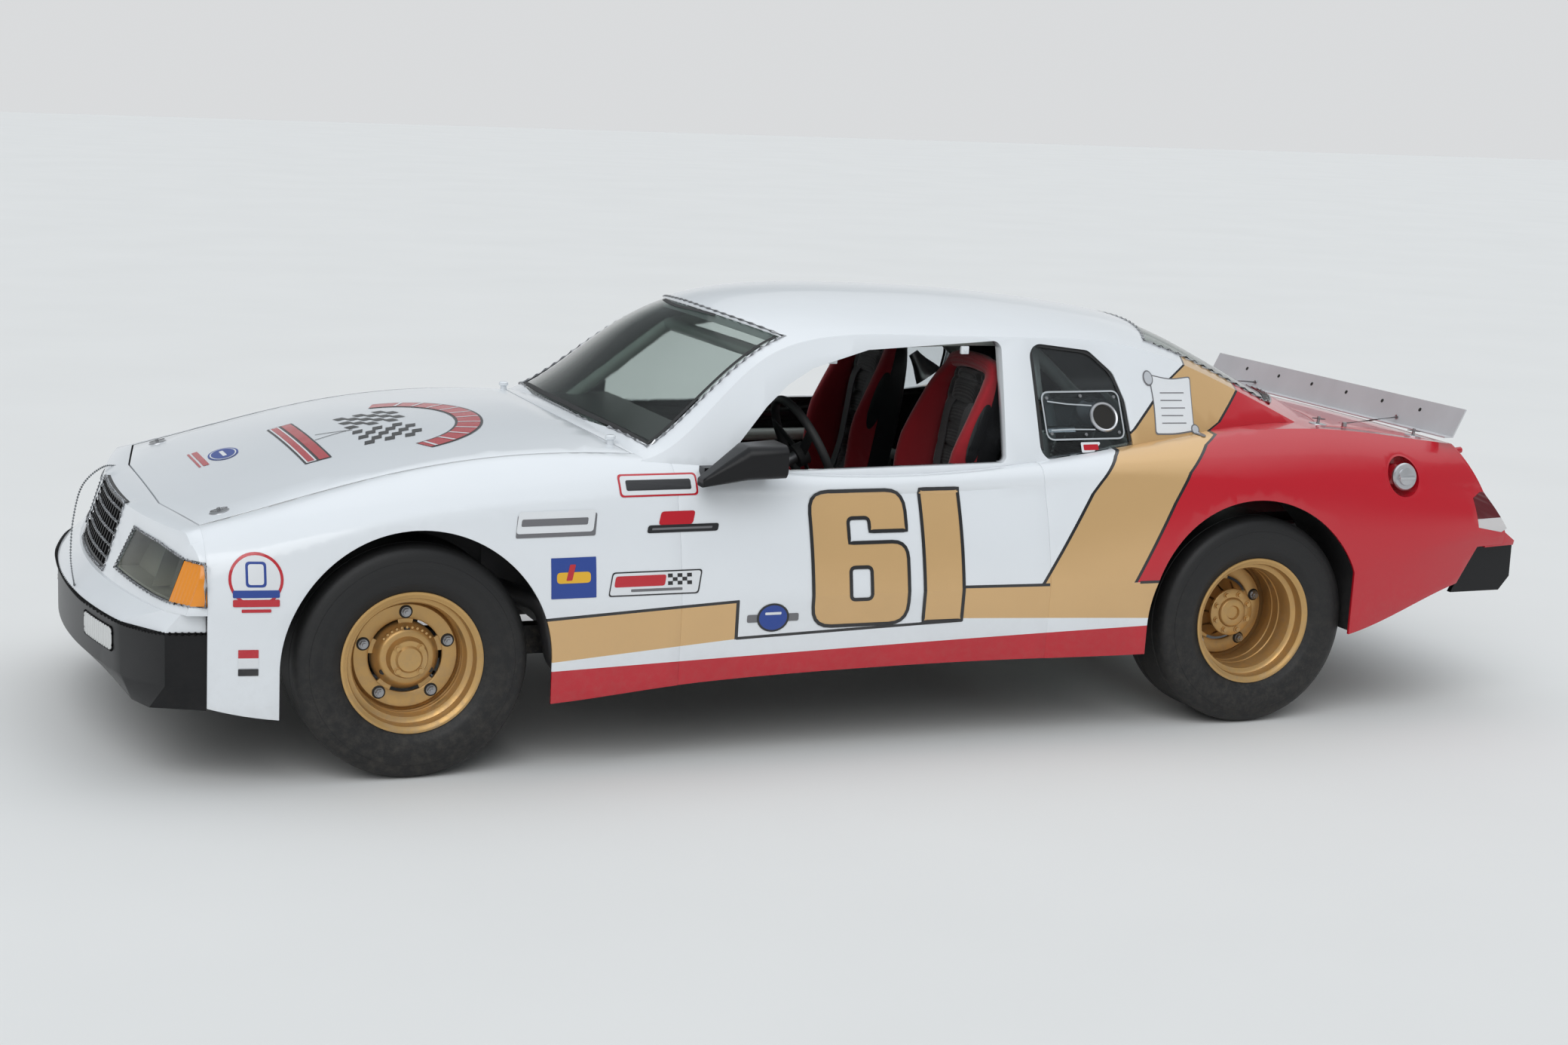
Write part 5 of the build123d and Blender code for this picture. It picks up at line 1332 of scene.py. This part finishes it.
class BuildCabin(bpy.types.Operator):
    """Foil hose, the cone on the air duct, window clips and gauges"""
    bl_idname = "stock_car.cabin"
    bl_label = "Cabin"

    def execute(self, context):
        self.hoses()
        self.cone()
        self.clips()
        self.gauges()
        return {"FINISHED"}

    def hoses(self):
        """A hose with close ribs, in place of the plain one."""
        path = smooth_path([(along(x), y, z) for x, y, z in (
            (-0.862, 0.636, 0.990), (-0.852, 0.575, 0.925), (-0.832, 0.546, 0.780), (-0.815, 0.538, 0.640),
            (-0.800, 0.530, 0.430))], 60)
        rib_pitch = 0.014
        radii = []
        run = 0.0
        for i, point in enumerate(path):
            run += (point - path[max(i - 1, 0)]).length
            radii.append(0.046 + 0.0035 * math.cos(2 * math.pi * run / rib_pitch))
        bm = bmesh.new()
        sweep(bm, path, radii, 28)
        add_solid("ribbed_hoses", bm, "foil_hose", replaces=("air_hoses",))

    def cone(self):
        """A spun cone that leads air into the cabin duct."""
        bm = bmesh.new()
        at = Vector((along(-0.648), -0.252, 1.088))
        turned(bm, [(0.0, 0.016), (0.018, 0.019), (0.045, 0.026), (0.075, 0.040), (0.098, 0.049),
                    (0.099, 0.051), (0.096, 0.051), (0.072, 0.042), (0.042, 0.029), (0.016, 0.021),
                    (0.0, 0.018)], at, (-0.052, 0.030, -0.080), 40)
        add_solid("duct_cone", bm, "brushed_aluminium")

    def clips(self):
        """Small bolted clips at the top of each side window opening."""
        bm = bmesh.new()
        for x, y, z in ((along(0.024), 0.620, 1.176), (along(-0.432), 0.606, 1.203)):
            for side in (1, -1):
                block(bm, (x - 0.014, side * y - 0.006, z - 0.014),
                      (x + 0.014, side * y + 0.006, z + 0.012), 0.003)
                bolt(bm, (x, side * (y + 0.006), z), (0, side, 0), 0.005, 0.003)
        add_solid("window_clips", bm, "white_paint", slot="white_paint")

    def gauges(self):
        """Dials with bare faces let into the dashboard, left of the middle."""
        tree = surface_of("dashboard")
        cups = bmesh.new()
        faces = bmesh.new()
        facing = (-1, 0, 0.1)
        for y, z, radius in ((0.560, 0.820, 0.028), (0.480, 0.830, 0.040), (0.385, 0.830, 0.040),
                             (0.305, 0.820, 0.028), (0.235, 0.820, 0.024), (0.175, 0.820, 0.024)):
            hit = tree.ray_cast(Vector((along(-0.3), y, z)), Vector((1, 0, 0)))[0]
            inner = radius - 0.004
            rim = [(-0.004, radius), (0.006, radius), (0.006, inner), (-0.004, inner)]
            dial = [(-0.002, 0.0001), (-0.002, inner), (0.002, inner), (0.002, 0.0001)]
            turned(cups, rim, hit, facing, 32)
            turned(faces, dial, hit, facing, 32)
        add_solid("gauge_rims", cups, "chrome")
        add_solid("gauge_faces", faces, "scroll_paper")


class BuildWindows(bpy.types.Operator):
    """Silver and rubber bands round the glass, and the vent plate in the left quarter window"""
    bl_idname = "stock_car.windows"
    bl_label = "Window trim"

    def execute(self, context):
        sheets = surface_of("roof", "cowl", "hood", "deck_lid", "fender_left", "fender_right", "quarter_left",
                            "quarter_right", "side_left", "side_right")
        glass = (("windshield", self.frame_line((0.168, 0.548), 0.305, (0.648, 0.702), 0.726)),
                 ("rear_window", self.frame_line((-1.150, 0.480), -1.270, (-1.590, 0.560), -1.800)))
        for name, loop in glass:
            middle = sum(loop, Vector((0, 0))) / len(loop)
            inner = [p - (p - middle).normalized() * 0.018 for p in loop]
            add_line(name + "_rubber", "soft_rubber", [inner], 0.012, surface_of(name), from_above, 0.0015)
            outer = [p + (p - middle).normalized() * 0.010 for p in loop]
            line = []
            for p in fine_line(outer, 0.03):
                hit, normal = sheets.ray_cast(*from_above(p.x, p.y))[:2]
                line.append(hit + normal * 0.001)
            bead(name + "_trim", line, 0.0075, "brushed_aluminium", 0.5)
        tree = surface_of("quarter_windows")
        self.vent_plate(tree)
        self.gaskets(tree)
        return {"FINISHED"}

    def frame_line(self, rear, rear_mid, front, front_mid):
        """A four sided outline seen from above, its two cross sides bowed."""
        line = []
        for (x0, y0), mid, sign in ((rear, rear_mid, 1), (front, front_mid, -1)):
            for k in range(25):
                t = sign * (1 - 2 * k / 24)
                line.append(Vector((x0 + (mid - x0) * (1 - t * t), y0 * t)))
        return line

    def vent_plate(self, tree):
        """The plastic plate with its screws, duct ring, funnel lines and label."""
        place = from_side(1)
        outline = oblong(-0.672, 0.930, -0.955, 1.073, 0.026)
        add_sheet("vent_plate", "clear_plastic", [outline], tree, place, 0.0045, 0.02)
        add_line("vent_rim", "frosted_plastic", [outline], 0.005, tree, place, 0.0060)
        bm = bmesh.new()
        for u, v in ((-0.690, 0.948), (-0.937, 0.948), (-0.690, 1.055), (-0.937, 1.055), (-0.814, 0.944),
                     (-0.814, 1.060)):
            hit, normal = tree.ray_cast(*place(u, v))[:2]
            bolt(bm, hit + normal * 0.004, normal, 0.006, 0.003, sides=16)
        add_solid("vent_screws", bm, "bolt_steel")
        hit, normal = tree.ray_cast(*place(-0.889, 0.995))[:2]
        ring = [(0.003, 0.040), (0.010, 0.042), (0.012, 0.047), (0.009, 0.050), (0.003, 0.051)]
        mouth = [(0.003, 0.0001), (0.003, 0.041), (0.0055, 0.041), (0.0055, 0.0001)]
        # painted shade: the duct's mouth is a dark disc inside the ring
        for name, profile, finish in (("vent_ring", ring, "brushed_aluminium"),
                                      ("vent_mouth", mouth, "painted_hole_shade")):
            bm = bmesh.new()
            turned(bm, profile, hit, normal)
            add_solid(name, bm, finish)
        lines = [[(-0.690, 1.045), (-0.760, 1.036), (-0.850, 1.030)],
                 [(-0.690, 0.958), (-0.760, 0.960), (-0.850, 0.958)]]
        add_line("vent_funnel", "frosted_plastic", lines, 0.004, tree, place, 0.0062, closed=False)
        label = oblong(-0.790, 0.890, -0.860, 0.921, 0.004)
        bar = oblong(-0.798, 0.897, -0.852, 0.914, 0.003)
        add_sheet("vent_label", "scroll_paper", [label], tree, place, 0.004, smooth=False)
        add_sheet("vent_label_bar", "red_paint", [bar], tree, place, 0.0046, smooth=False)

    def gaskets(self, tree):
        """A rubber line round the quarter window on each side."""
        pane = rounded([(-0.640, 0.870, 0.03), (-0.982, 0.872, 0.03), (-0.978, 1.042, 0.02),
                        (-0.950, 1.130, 0.03), (-0.872, 1.200, 0.03), (-0.655, 1.226, 0.03)])
        line = scaled(pane, 0.955)
        for side, tag in ((1, "left"), (-1, "right")):
            add_line("quarter_gasket_" + tag, "soft_rubber", [line], 0.010, tree, from_side(side), 0.002)


class BuildTrim(bpy.types.Operator):
    """Hood pins, hinge knobs, grille, lamp bezels, bumper lamps, plaques and tail fittings"""
    bl_idname = "stock_car.trim"
    bl_label = "Trim"

    def execute(self, context):
        self.hood_pins()
        self.hinge_knobs()
        self.spoiler_holes()
        self.grille()
        self.lamp_bezels()
        self.bumper_lamps()
        self.plaques()
        self.filler_cap()
        self.tail_fittings()
        self.arch_liners()
        return {"FINISHED"}

    def arch_liners(self):
        """Dark sheets that close the rear wheel wells behind the arches."""
        arch = blend_rows([(-1.752, 0.300), (-1.752, 0.410), (-1.750, 0.505), (-1.700, 0.608),
                           (-1.640, 0.672), (-1.570, 0.722), (-1.480, 0.755), (-1.397, 0.765),
                           (-1.300, 0.757), (-1.190, 0.716), (-1.112, 0.672), (-1.050, 0.605),
                           (-0.992, 0.505), (-0.962, 0.400), (-0.960, 0.290)], 4)
        for side, tag in ((1, "left"), (-1, "right")):
            bm = bmesh.new()
            rings = []
            for x, z in arch:
                outer = 0.912 - 0.07 * max(0.0, z - 0.57)
                out = Vector((x + 1.397, 0, max(z - 0.343, 0.0))).normalized() * 0.002
                rings.append([bm.verts.new(Vector((along(x), side * y, z)) + out * s)
                              for y, s in ((0.625, 0), (outer, 0), (outer, 1), (0.625, 1))])
            add_skin(bm, rings)
            add_solid("arch_liner_" + tag, bm, "soft_rubber")

    def hood_pins(self):
        """Round plates, pins and wire clips that hold the hood and the deck lid."""
        plate = [(-0.001, 0.0001), (-0.001, 0.030), (0.0015, 0.029), (0.0025, 0.024), (0.0025, 0.0001)]
        turns = [2 * math.pi * k / 28 for k in range(28)]
        for body, spots, pin_height, clip_height in (
                ("hood", ((1.903, 0.640),), 0.012, 0.007),
                ("deck_lid", ((-1.735, 0.655), (-2.120, 0.655)), 0.026, 0.018)):
            tree = surface_of(body)
            plates = bmesh.new()
            pins = bmesh.new()
            for x, y in [(x, side * y) for x, y in spots for side in (1, -1)]:
                at, normal = tree.ray_cast(*from_above(x, y))[:2]
                turned(plates, plate, at, normal, 36)
                bolt(pins, at, normal, 0.0055, pin_height, sides=20)
                across = (Vector((1, 0, 0)) - normal * normal.x).normalized()
                beside = normal.cross(across)
                middle = at + normal * clip_height
                clip = [middle + across * (0.024 * math.cos(t)) + beside * (0.010 * math.sin(t))
                        for t in turns]
                sweep(pins, clip, 0.0016, 8, closed=True)
            add_solid(body + "_pin_plates", plates, "brushed_aluminium", body, slot="bare_aluminium")
            add_solid(body + "_pins", pins, "bolt_steel", body, slot="bare_aluminium")

    def hinge_knobs(self):
        """White knobs at the rear corners of the hood."""
        tree = surface_of("cowl", "fender_left", "fender_right", "hood")
        bm = bmesh.new()
        for side in (1, -1):
            at = tree.ray_cast(*from_above(0.735, side * 0.612))[0]
            turned(bm, [(-0.002, 0.0001), (-0.002, 0.011), (0.012, 0.011), (0.014, 0.016), (0.023, 0.016),
                        (0.026, 0.012), (0.026, 0.0001)], at, UP, 28)
        add_solid("hinge_knobs", bm, "white_paint", slot="white_paint")

    def spoiler_holes(self):
        """A row of six holes across the spoiler, shown as dark discs of painted shade."""
        tree = surface_of("spoiler")
        bm = bmesh.new()
        for k in range(6):
            start = Vector((along(-2.05), -0.56 + 0.224 * k, 0.985))
            hit, normal = tree.ray_cast(start, Vector((-1, 0, 0)))[:2]
            # painted shade: a dark disc stands for each hole
            bolt(bm, hit - normal * 0.001, normal, 0.0075, 0.002, sides=20)
        add_solid("spoiler_holes", bm, "painted_hole_shade", "deck_lid", slot="bare_aluminium")

    def grille(self):
        """Five bowed bars, the frame of the opening and the stiff wire in front of it."""
        bm = bmesh.new()
        for z in (0.548, 0.582, 0.616, 0.650, 0.684):
            sweep(bm, [nose_face(-0.250 + 0.500 * k / 24, z, -0.001) for k in range(25)], 0.0045, 8)
        add_solid("grille_bars", bm, "chrome", slot="bare_aluminium")
        loop = rounded([(-0.268, 0.513, 0.015), (0.268, 0.513, 0.015), (0.243, 0.712, 0.015),
                        (-0.243, 0.712, 0.015)])
        bead("grille_frame", [nose_face(p.x, p.y, 0.001) for p in fine_line(loop, 0.02)], 0.0055)
        wire = [(2.045, -0.390, 0.712), (2.105, -0.380, 0.716), (2.190, -0.200, 0.690), (2.245, 0.050, 0.632),
                (2.268, 0.190, 0.545), (2.262, 0.215, 0.470), (2.255, 0.195, 0.452)]
        bm = bmesh.new()
        sweep(bm, smooth_path([(along(x), y, z) for x, y, z in wire], 12), 0.0035, 10)
        add_solid("stiff_wire", bm, "frosted_plastic", slot="bare_aluminium")

    def lamp_bezels(self):
        """Bright beads round the lamps, and the upright wall inside each bucket."""
        for side, tag in ((1, "left"), (-1, "right")):
            loop = [Vector((side * y, z)) for y, z in (
                (0.880, 0.530), (0.700, 0.530), (0.364, 0.542), (0.413, 0.670), (0.640, 0.666),
                (0.842, 0.649), (0.880, 0.648))]
            line = [nose_face(p.x, p.y, 0.001) for a, b in zip(loop, loop[1:])
                    for p in [a.lerp(b, k / 12) for k in range(12)]]
            line += [nose_face(loop[-1].x, loop[-1].y, 0.001), Vector((along(1.982), side * 0.902, 0.648)),
                     Vector((along(1.982), side * 0.904, 0.590)), Vector((along(1.982), side * 0.905, 0.530))]
            bead("lamp_bezel_" + tag, line, 0.0045)
            bm = bmesh.new()
            section = ((-0.060, -0.002), (-0.010, -0.002), (-0.010, 0.002), (-0.060, 0.002))
            add_skin(bm, [[bm.verts.new(nose_face(side * 0.668, z, lift) + Vector((0, s, 0)))
                           for lift, s in section] for z in (0.546, 0.661)])
            add_solid("lamp_wall_" + tag, bm, "lamp_bowl")

    def bumper_lamps(self):
        """A clear ribbed lamp let into the bumper on each side, and a bright lip along its top edge."""
        tree = surface_of("front_bumper")
        for side, tag in ((1, "left"), (-1, "right")):
            loop = oblong(side * 0.375, 0.354, side * 0.625, 0.420, 0.014)
            add_sheet("bumper_lamp_" + tag, "clear_lens", [loop], tree, from_front, 0.003)
            line = [tree.ray_cast(*from_front(p.x, p.y))[0] for p in fine_line(loop, 0.02)]
            bead("bumper_lamp_frame_" + tag, line, 0.0045, "gloss_black")
        bm = bmesh.new()
        half = [(1.965, 0.872), (2.085, 0.846), (2.150, 0.762), (2.200, 0.640), (2.250, 0.400),
                (2.268, 0.200), (2.273, 0.0)]
        rim = half + [(x, -y) for x, y in half[-2::-1]]
        sweep(bm, smooth_path([(along(x), y, 0.449) for x, y in rim]), 0.0060, 8)
        add_solid("bumper_lip", bm, "gloss_black", slot="black_plastic")

    def plaques(self):
        """A bare paper scroll with two curls on each rear pillar."""
        for side, tag in ((1, "left"), (-1, "right")):
            tree = surface_of("roof", "quarter_" + tag, "quarter_windows")
            place = from_side(side)
            sheet = rounded([(-1.088, 1.120, 0.010), (-1.165, 1.104, 0.030), (-1.246, 1.110, 0.010),
                             (-1.232, 1.030, 0.030), (-1.222, 0.950, 0.010), (-1.150, 0.942, 0.030),
                             (-1.076, 0.944, 0.010), (-1.088, 1.030, 0.030)])
            for name, loop, finish, lift in (
                    ("scroll_shade", scaled(sheet, 1.05), "grey_decal", 0.0012),
                    ("scroll", sheet, "scroll_paper", 0.0020),
                    ("scroll_curl_high_line", disc_outline(-1.080, 1.112, 0.019, 1.25), "grey_decal", 0.0024),
                    ("scroll_curl_high", disc_outline(-1.080, 1.112, 0.015, 1.3), "scroll_roll", 0.0032),
                    ("scroll_curl_low_line", disc_outline(-1.228, 0.952, 0.016, 1.0), "grey_decal", 0.0024),
                    ("scroll_curl_low", disc_outline(-1.228, 0.952, 0.012, 1.0), "scroll_roll", 0.0032)):
                add_sheet(f"{name}_{tag}", finish, [loop], tree, place, lift, 0.02, **DECAL)
            rules = [[(-1.116 + 0.003 * k, 1.066 - 0.023 * k),
                      (-1.210 + 0.003 * k + 0.010 * (k % 2), 1.064 - 0.023 * k)] for k in range(5)]
            add_line("scroll_rules_" + tag, "grey_decal", rules, 0.0030, tree, place, 0.0026, closed=False,
                     **DECAL)

    def filler_cap(self):
        """A round cap with a grip bar, over the filler."""
        low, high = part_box("fuel_filler")
        middle = (low + high) / 2
        bm = bmesh.new()
        turned(bm, [(0.0, 0.0001), (0.0, 0.044), (0.010, 0.046), (0.016, 0.042), (0.016, 0.030),
                    (0.022, 0.028), (0.024, 0.0001)], (middle.x, high.y - 0.032, middle.z), (0, 1, 0.15))
        block(bm, (middle.x - 0.030, high.y - 0.012, middle.z - 0.006),
              (middle.x + 0.030, high.y - 0.003, middle.z + 0.006), 0.003)
        add_solid("filler_cap", bm, "brushed_aluminium", slot="bare_aluminium")

    def tail_fittings(self):
        """The vent knob on the left corner and the thin stays that brace the spoiler."""
        tree = surface_of("quarter_left", "tail_panel")
        hit = tree.ray_cast(Vector((along(-2.6), 0.735, 0.868)), Vector((1, 0, 0)))[0]
        bm = bmesh.new()
        turned(bm, [(-0.004, 0.0001), (-0.004, 0.011), (0.030, 0.011), (0.033, 0.008), (0.033, 0.0001)], hit,
               (-1, 0, 0.1), 28)
        add_solid("vent_knob", bm, "red_paint")
        lid = surface_of("deck_lid")
        wing = surface_of("spoiler")
        bm = bmesh.new()
        for side in (1, -1):
            foot = lid.ray_cast(*from_above(-1.84, side * 0.655))[0]
            head = wing.ray_cast(Vector((along(-1.95), side * 0.46, 0.945)), Vector((-1, 0, 0)))[0]
            foot.z += 0.010
            sweep(bm, [foot, foot.lerp(head, 0.5), head + Vector((0.002, 0, 0))], 0.003, 10)
            bolt(bm, foot - Vector((0, 0, 0.010)), (0, 0, 1), 0.009, 0.014, sides=20)
            bolt(bm, head, (1, 0, 0), 0.009, 0.004, sides=20)
        add_solid("spoiler_stays", bm, "bolt_steel", "deck_lid", slot="bare_aluminium")


HORIZON = (0.70, 0.71, 0.72, 1)
DIM_BAND = (0.26, 0.28, 0.29, 1)
CEILING = (0.90, 0.95, 1.0, 1)
# where the camera stands (ahead of mid-wheelbase, left, up) and its turn, in degrees
CAMERA_AT = (3.027, 7.757, 2.073)
YAW, PITCH, ROLL = -111.86, -10.37, 2.43


class BuildStage(bpy.types.Operator):
    """Pale floor, soft lights and the camera at the photograph's angle"""
    bl_idname = "stock_car.stage"
    bl_label = "Stage"

    def execute(self, context):
        self.floor()
        self.lights()
        self.camera(context.scene.stock_car_sizes)
        return {"FINISHED"}

    def floor(self):
        """A wide pale floor, which is no part of the car."""
        bm = bmesh.new()
        bmesh.ops.create_grid(bm, x_segments=2, y_segments=2, size=60.0)
        mesh = plain_mesh("floor", bm)
        floor = bpy.data.objects.new("studio_floor", mesh)
        bpy.context.scene.collection.objects.link(floor)
        made = bpy.data.materials.new("pale_floor")
        made.use_nodes = True
        g = Graph(made.node_tree)
        shader = made.node_tree.nodes["Principled BSDF"]
        tone = g.mix(g.noise(g.place(), 0.8), (0.72, 0.72, 0.71, 1), (0.77, 0.77, 0.76, 1))
        g.put(shader.inputs["Base Color"], tone)
        shader.inputs["Roughness"].default_value = 0.85
        mesh.materials.append(made)

    def lights(self):
        """A pale horizon, a dimmer band above it, a bright ceiling and two broad soft suns."""
        world = bpy.data.worlds.new("studio")
        bpy.context.scene.world = world
        world.use_nodes = True
        g = Graph(world.node_tree)
        back = world.node_tree.nodes["Background"]
        rise = g.split(g.node("ShaderNodeTexCoord").outputs["Generated"])[2]
        dim = g.mix(g.ramp(rise, 0.10, 0.26), HORIZON, DIM_BAND)
        g.put(back.inputs["Color"], g.mix(g.ramp(rise, 0.55, 0.80), dim, CEILING))
        back.inputs["Strength"].default_value = 1.0
        # name, direction it shines from, spread in degrees and strength of each sun
        for name, come_from, spread, power in (("key", (0.45, 0.75, 0.75), 50.0, 1.15),
                                               ("fill", (-0.7, -0.5, 0.9), 80.0, 0.45)):
            lamp = bpy.data.lights.new(name, "SUN")
            lamp.angle = math.radians(spread)
            lamp.energy = power
            obj = bpy.data.objects.new(name, lamp)
            obj.rotation_euler = (-Vector(come_from)).to_track_quat("-Z", "Y").to_euler()
            bpy.context.scene.collection.objects.link(obj)

    def camera(self, sizes):
        """The photograph's view: the camera stands off the car's front left corner, above its roof."""
        lens = bpy.data.cameras.new("view")
        lens.lens = sizes.lens
        lens.sensor_width = 36.0
        lens.clip_end = 200.0
        camera = bpy.data.objects.new("camera", lens)
        bpy.context.scene.collection.objects.link(camera)
        yaw, pitch, roll = (math.radians(a) for a in (YAW, PITCH, ROLL))
        look = Vector((math.cos(pitch) * math.cos(yaw), math.cos(pitch) * math.sin(yaw), math.sin(pitch)))
        right = look.cross(Vector((0, 0, 1))).normalized()
        up = right.cross(look)
        rolled_right = right * math.cos(roll) + up * math.sin(roll)
        rolled_up = up * math.cos(roll) - right * math.sin(roll)
        turn = Matrix((rolled_right, rolled_up, -look)).transposed().to_4x4()
        ahead, left, height = CAMERA_AT
        camera.matrix_world = Matrix.Translation((along(ahead), left, height)) @ turn
        bpy.context.scene.camera = camera
        bpy.context.scene.view_settings.view_transform = "Standard"


BUILDERS = (BuildFinishes, DressBody, BuildTyres, BuildWheels, BuildNumbers, BuildDecals, BuildSeats,
            BuildCabin, BuildWindows, BuildTrim, BuildStage)


class StockCarPanel(bpy.types.Panel):
    """Sidebar list of the builders with the sizes and colours."""
    bl_idname = "STOCKCAR_PT_main"
    bl_label = "Stock Car"
    bl_space_type = "VIEW_3D"
    bl_region_type = "UI"
    bl_category = "Stock Car"

    def draw(self, context):
        for group in (context.scene.stock_car_colours, context.scene.stock_car_sizes):
            for key in group.__annotations__:
                self.layout.prop(group, key)
        for builder in BUILDERS:
            self.layout.operator(builder.bl_idname)


CLASSES = (StockCarColours, StockCarSizes, *BUILDERS, StockCarPanel)


def register():
    """Adds the classes and this scene's colours and sizes."""
    for cls in CLASSES:
        bpy.utils.register_class(cls)
    bpy.types.Scene.stock_car_colours = bpy.props.PointerProperty(type=StockCarColours)
    bpy.types.Scene.stock_car_sizes = bpy.props.PointerProperty(type=StockCarSizes)


def unregister():
    """Takes them away again."""
    del bpy.types.Scene.stock_car_sizes
    del bpy.types.Scene.stock_car_colours
    for cls in reversed(CLASSES):
        bpy.utils.unregister_class(cls)


def main():
    """Builds everything in order."""
    register()
    bpy.ops.stock_car.finishes()
    bpy.ops.stock_car.body()
    bpy.ops.stock_car.tyres()
    bpy.ops.stock_car.wheels()
    bpy.ops.stock_car.numbers()
    bpy.ops.stock_car.decals()
    bpy.ops.stock_car.seats()
    bpy.ops.stock_car.cabin()
    bpy.ops.stock_car.windows()
    bpy.ops.stock_car.trim()
    bpy.ops.stock_car.stage()


if __name__ == "__main__":
    main()
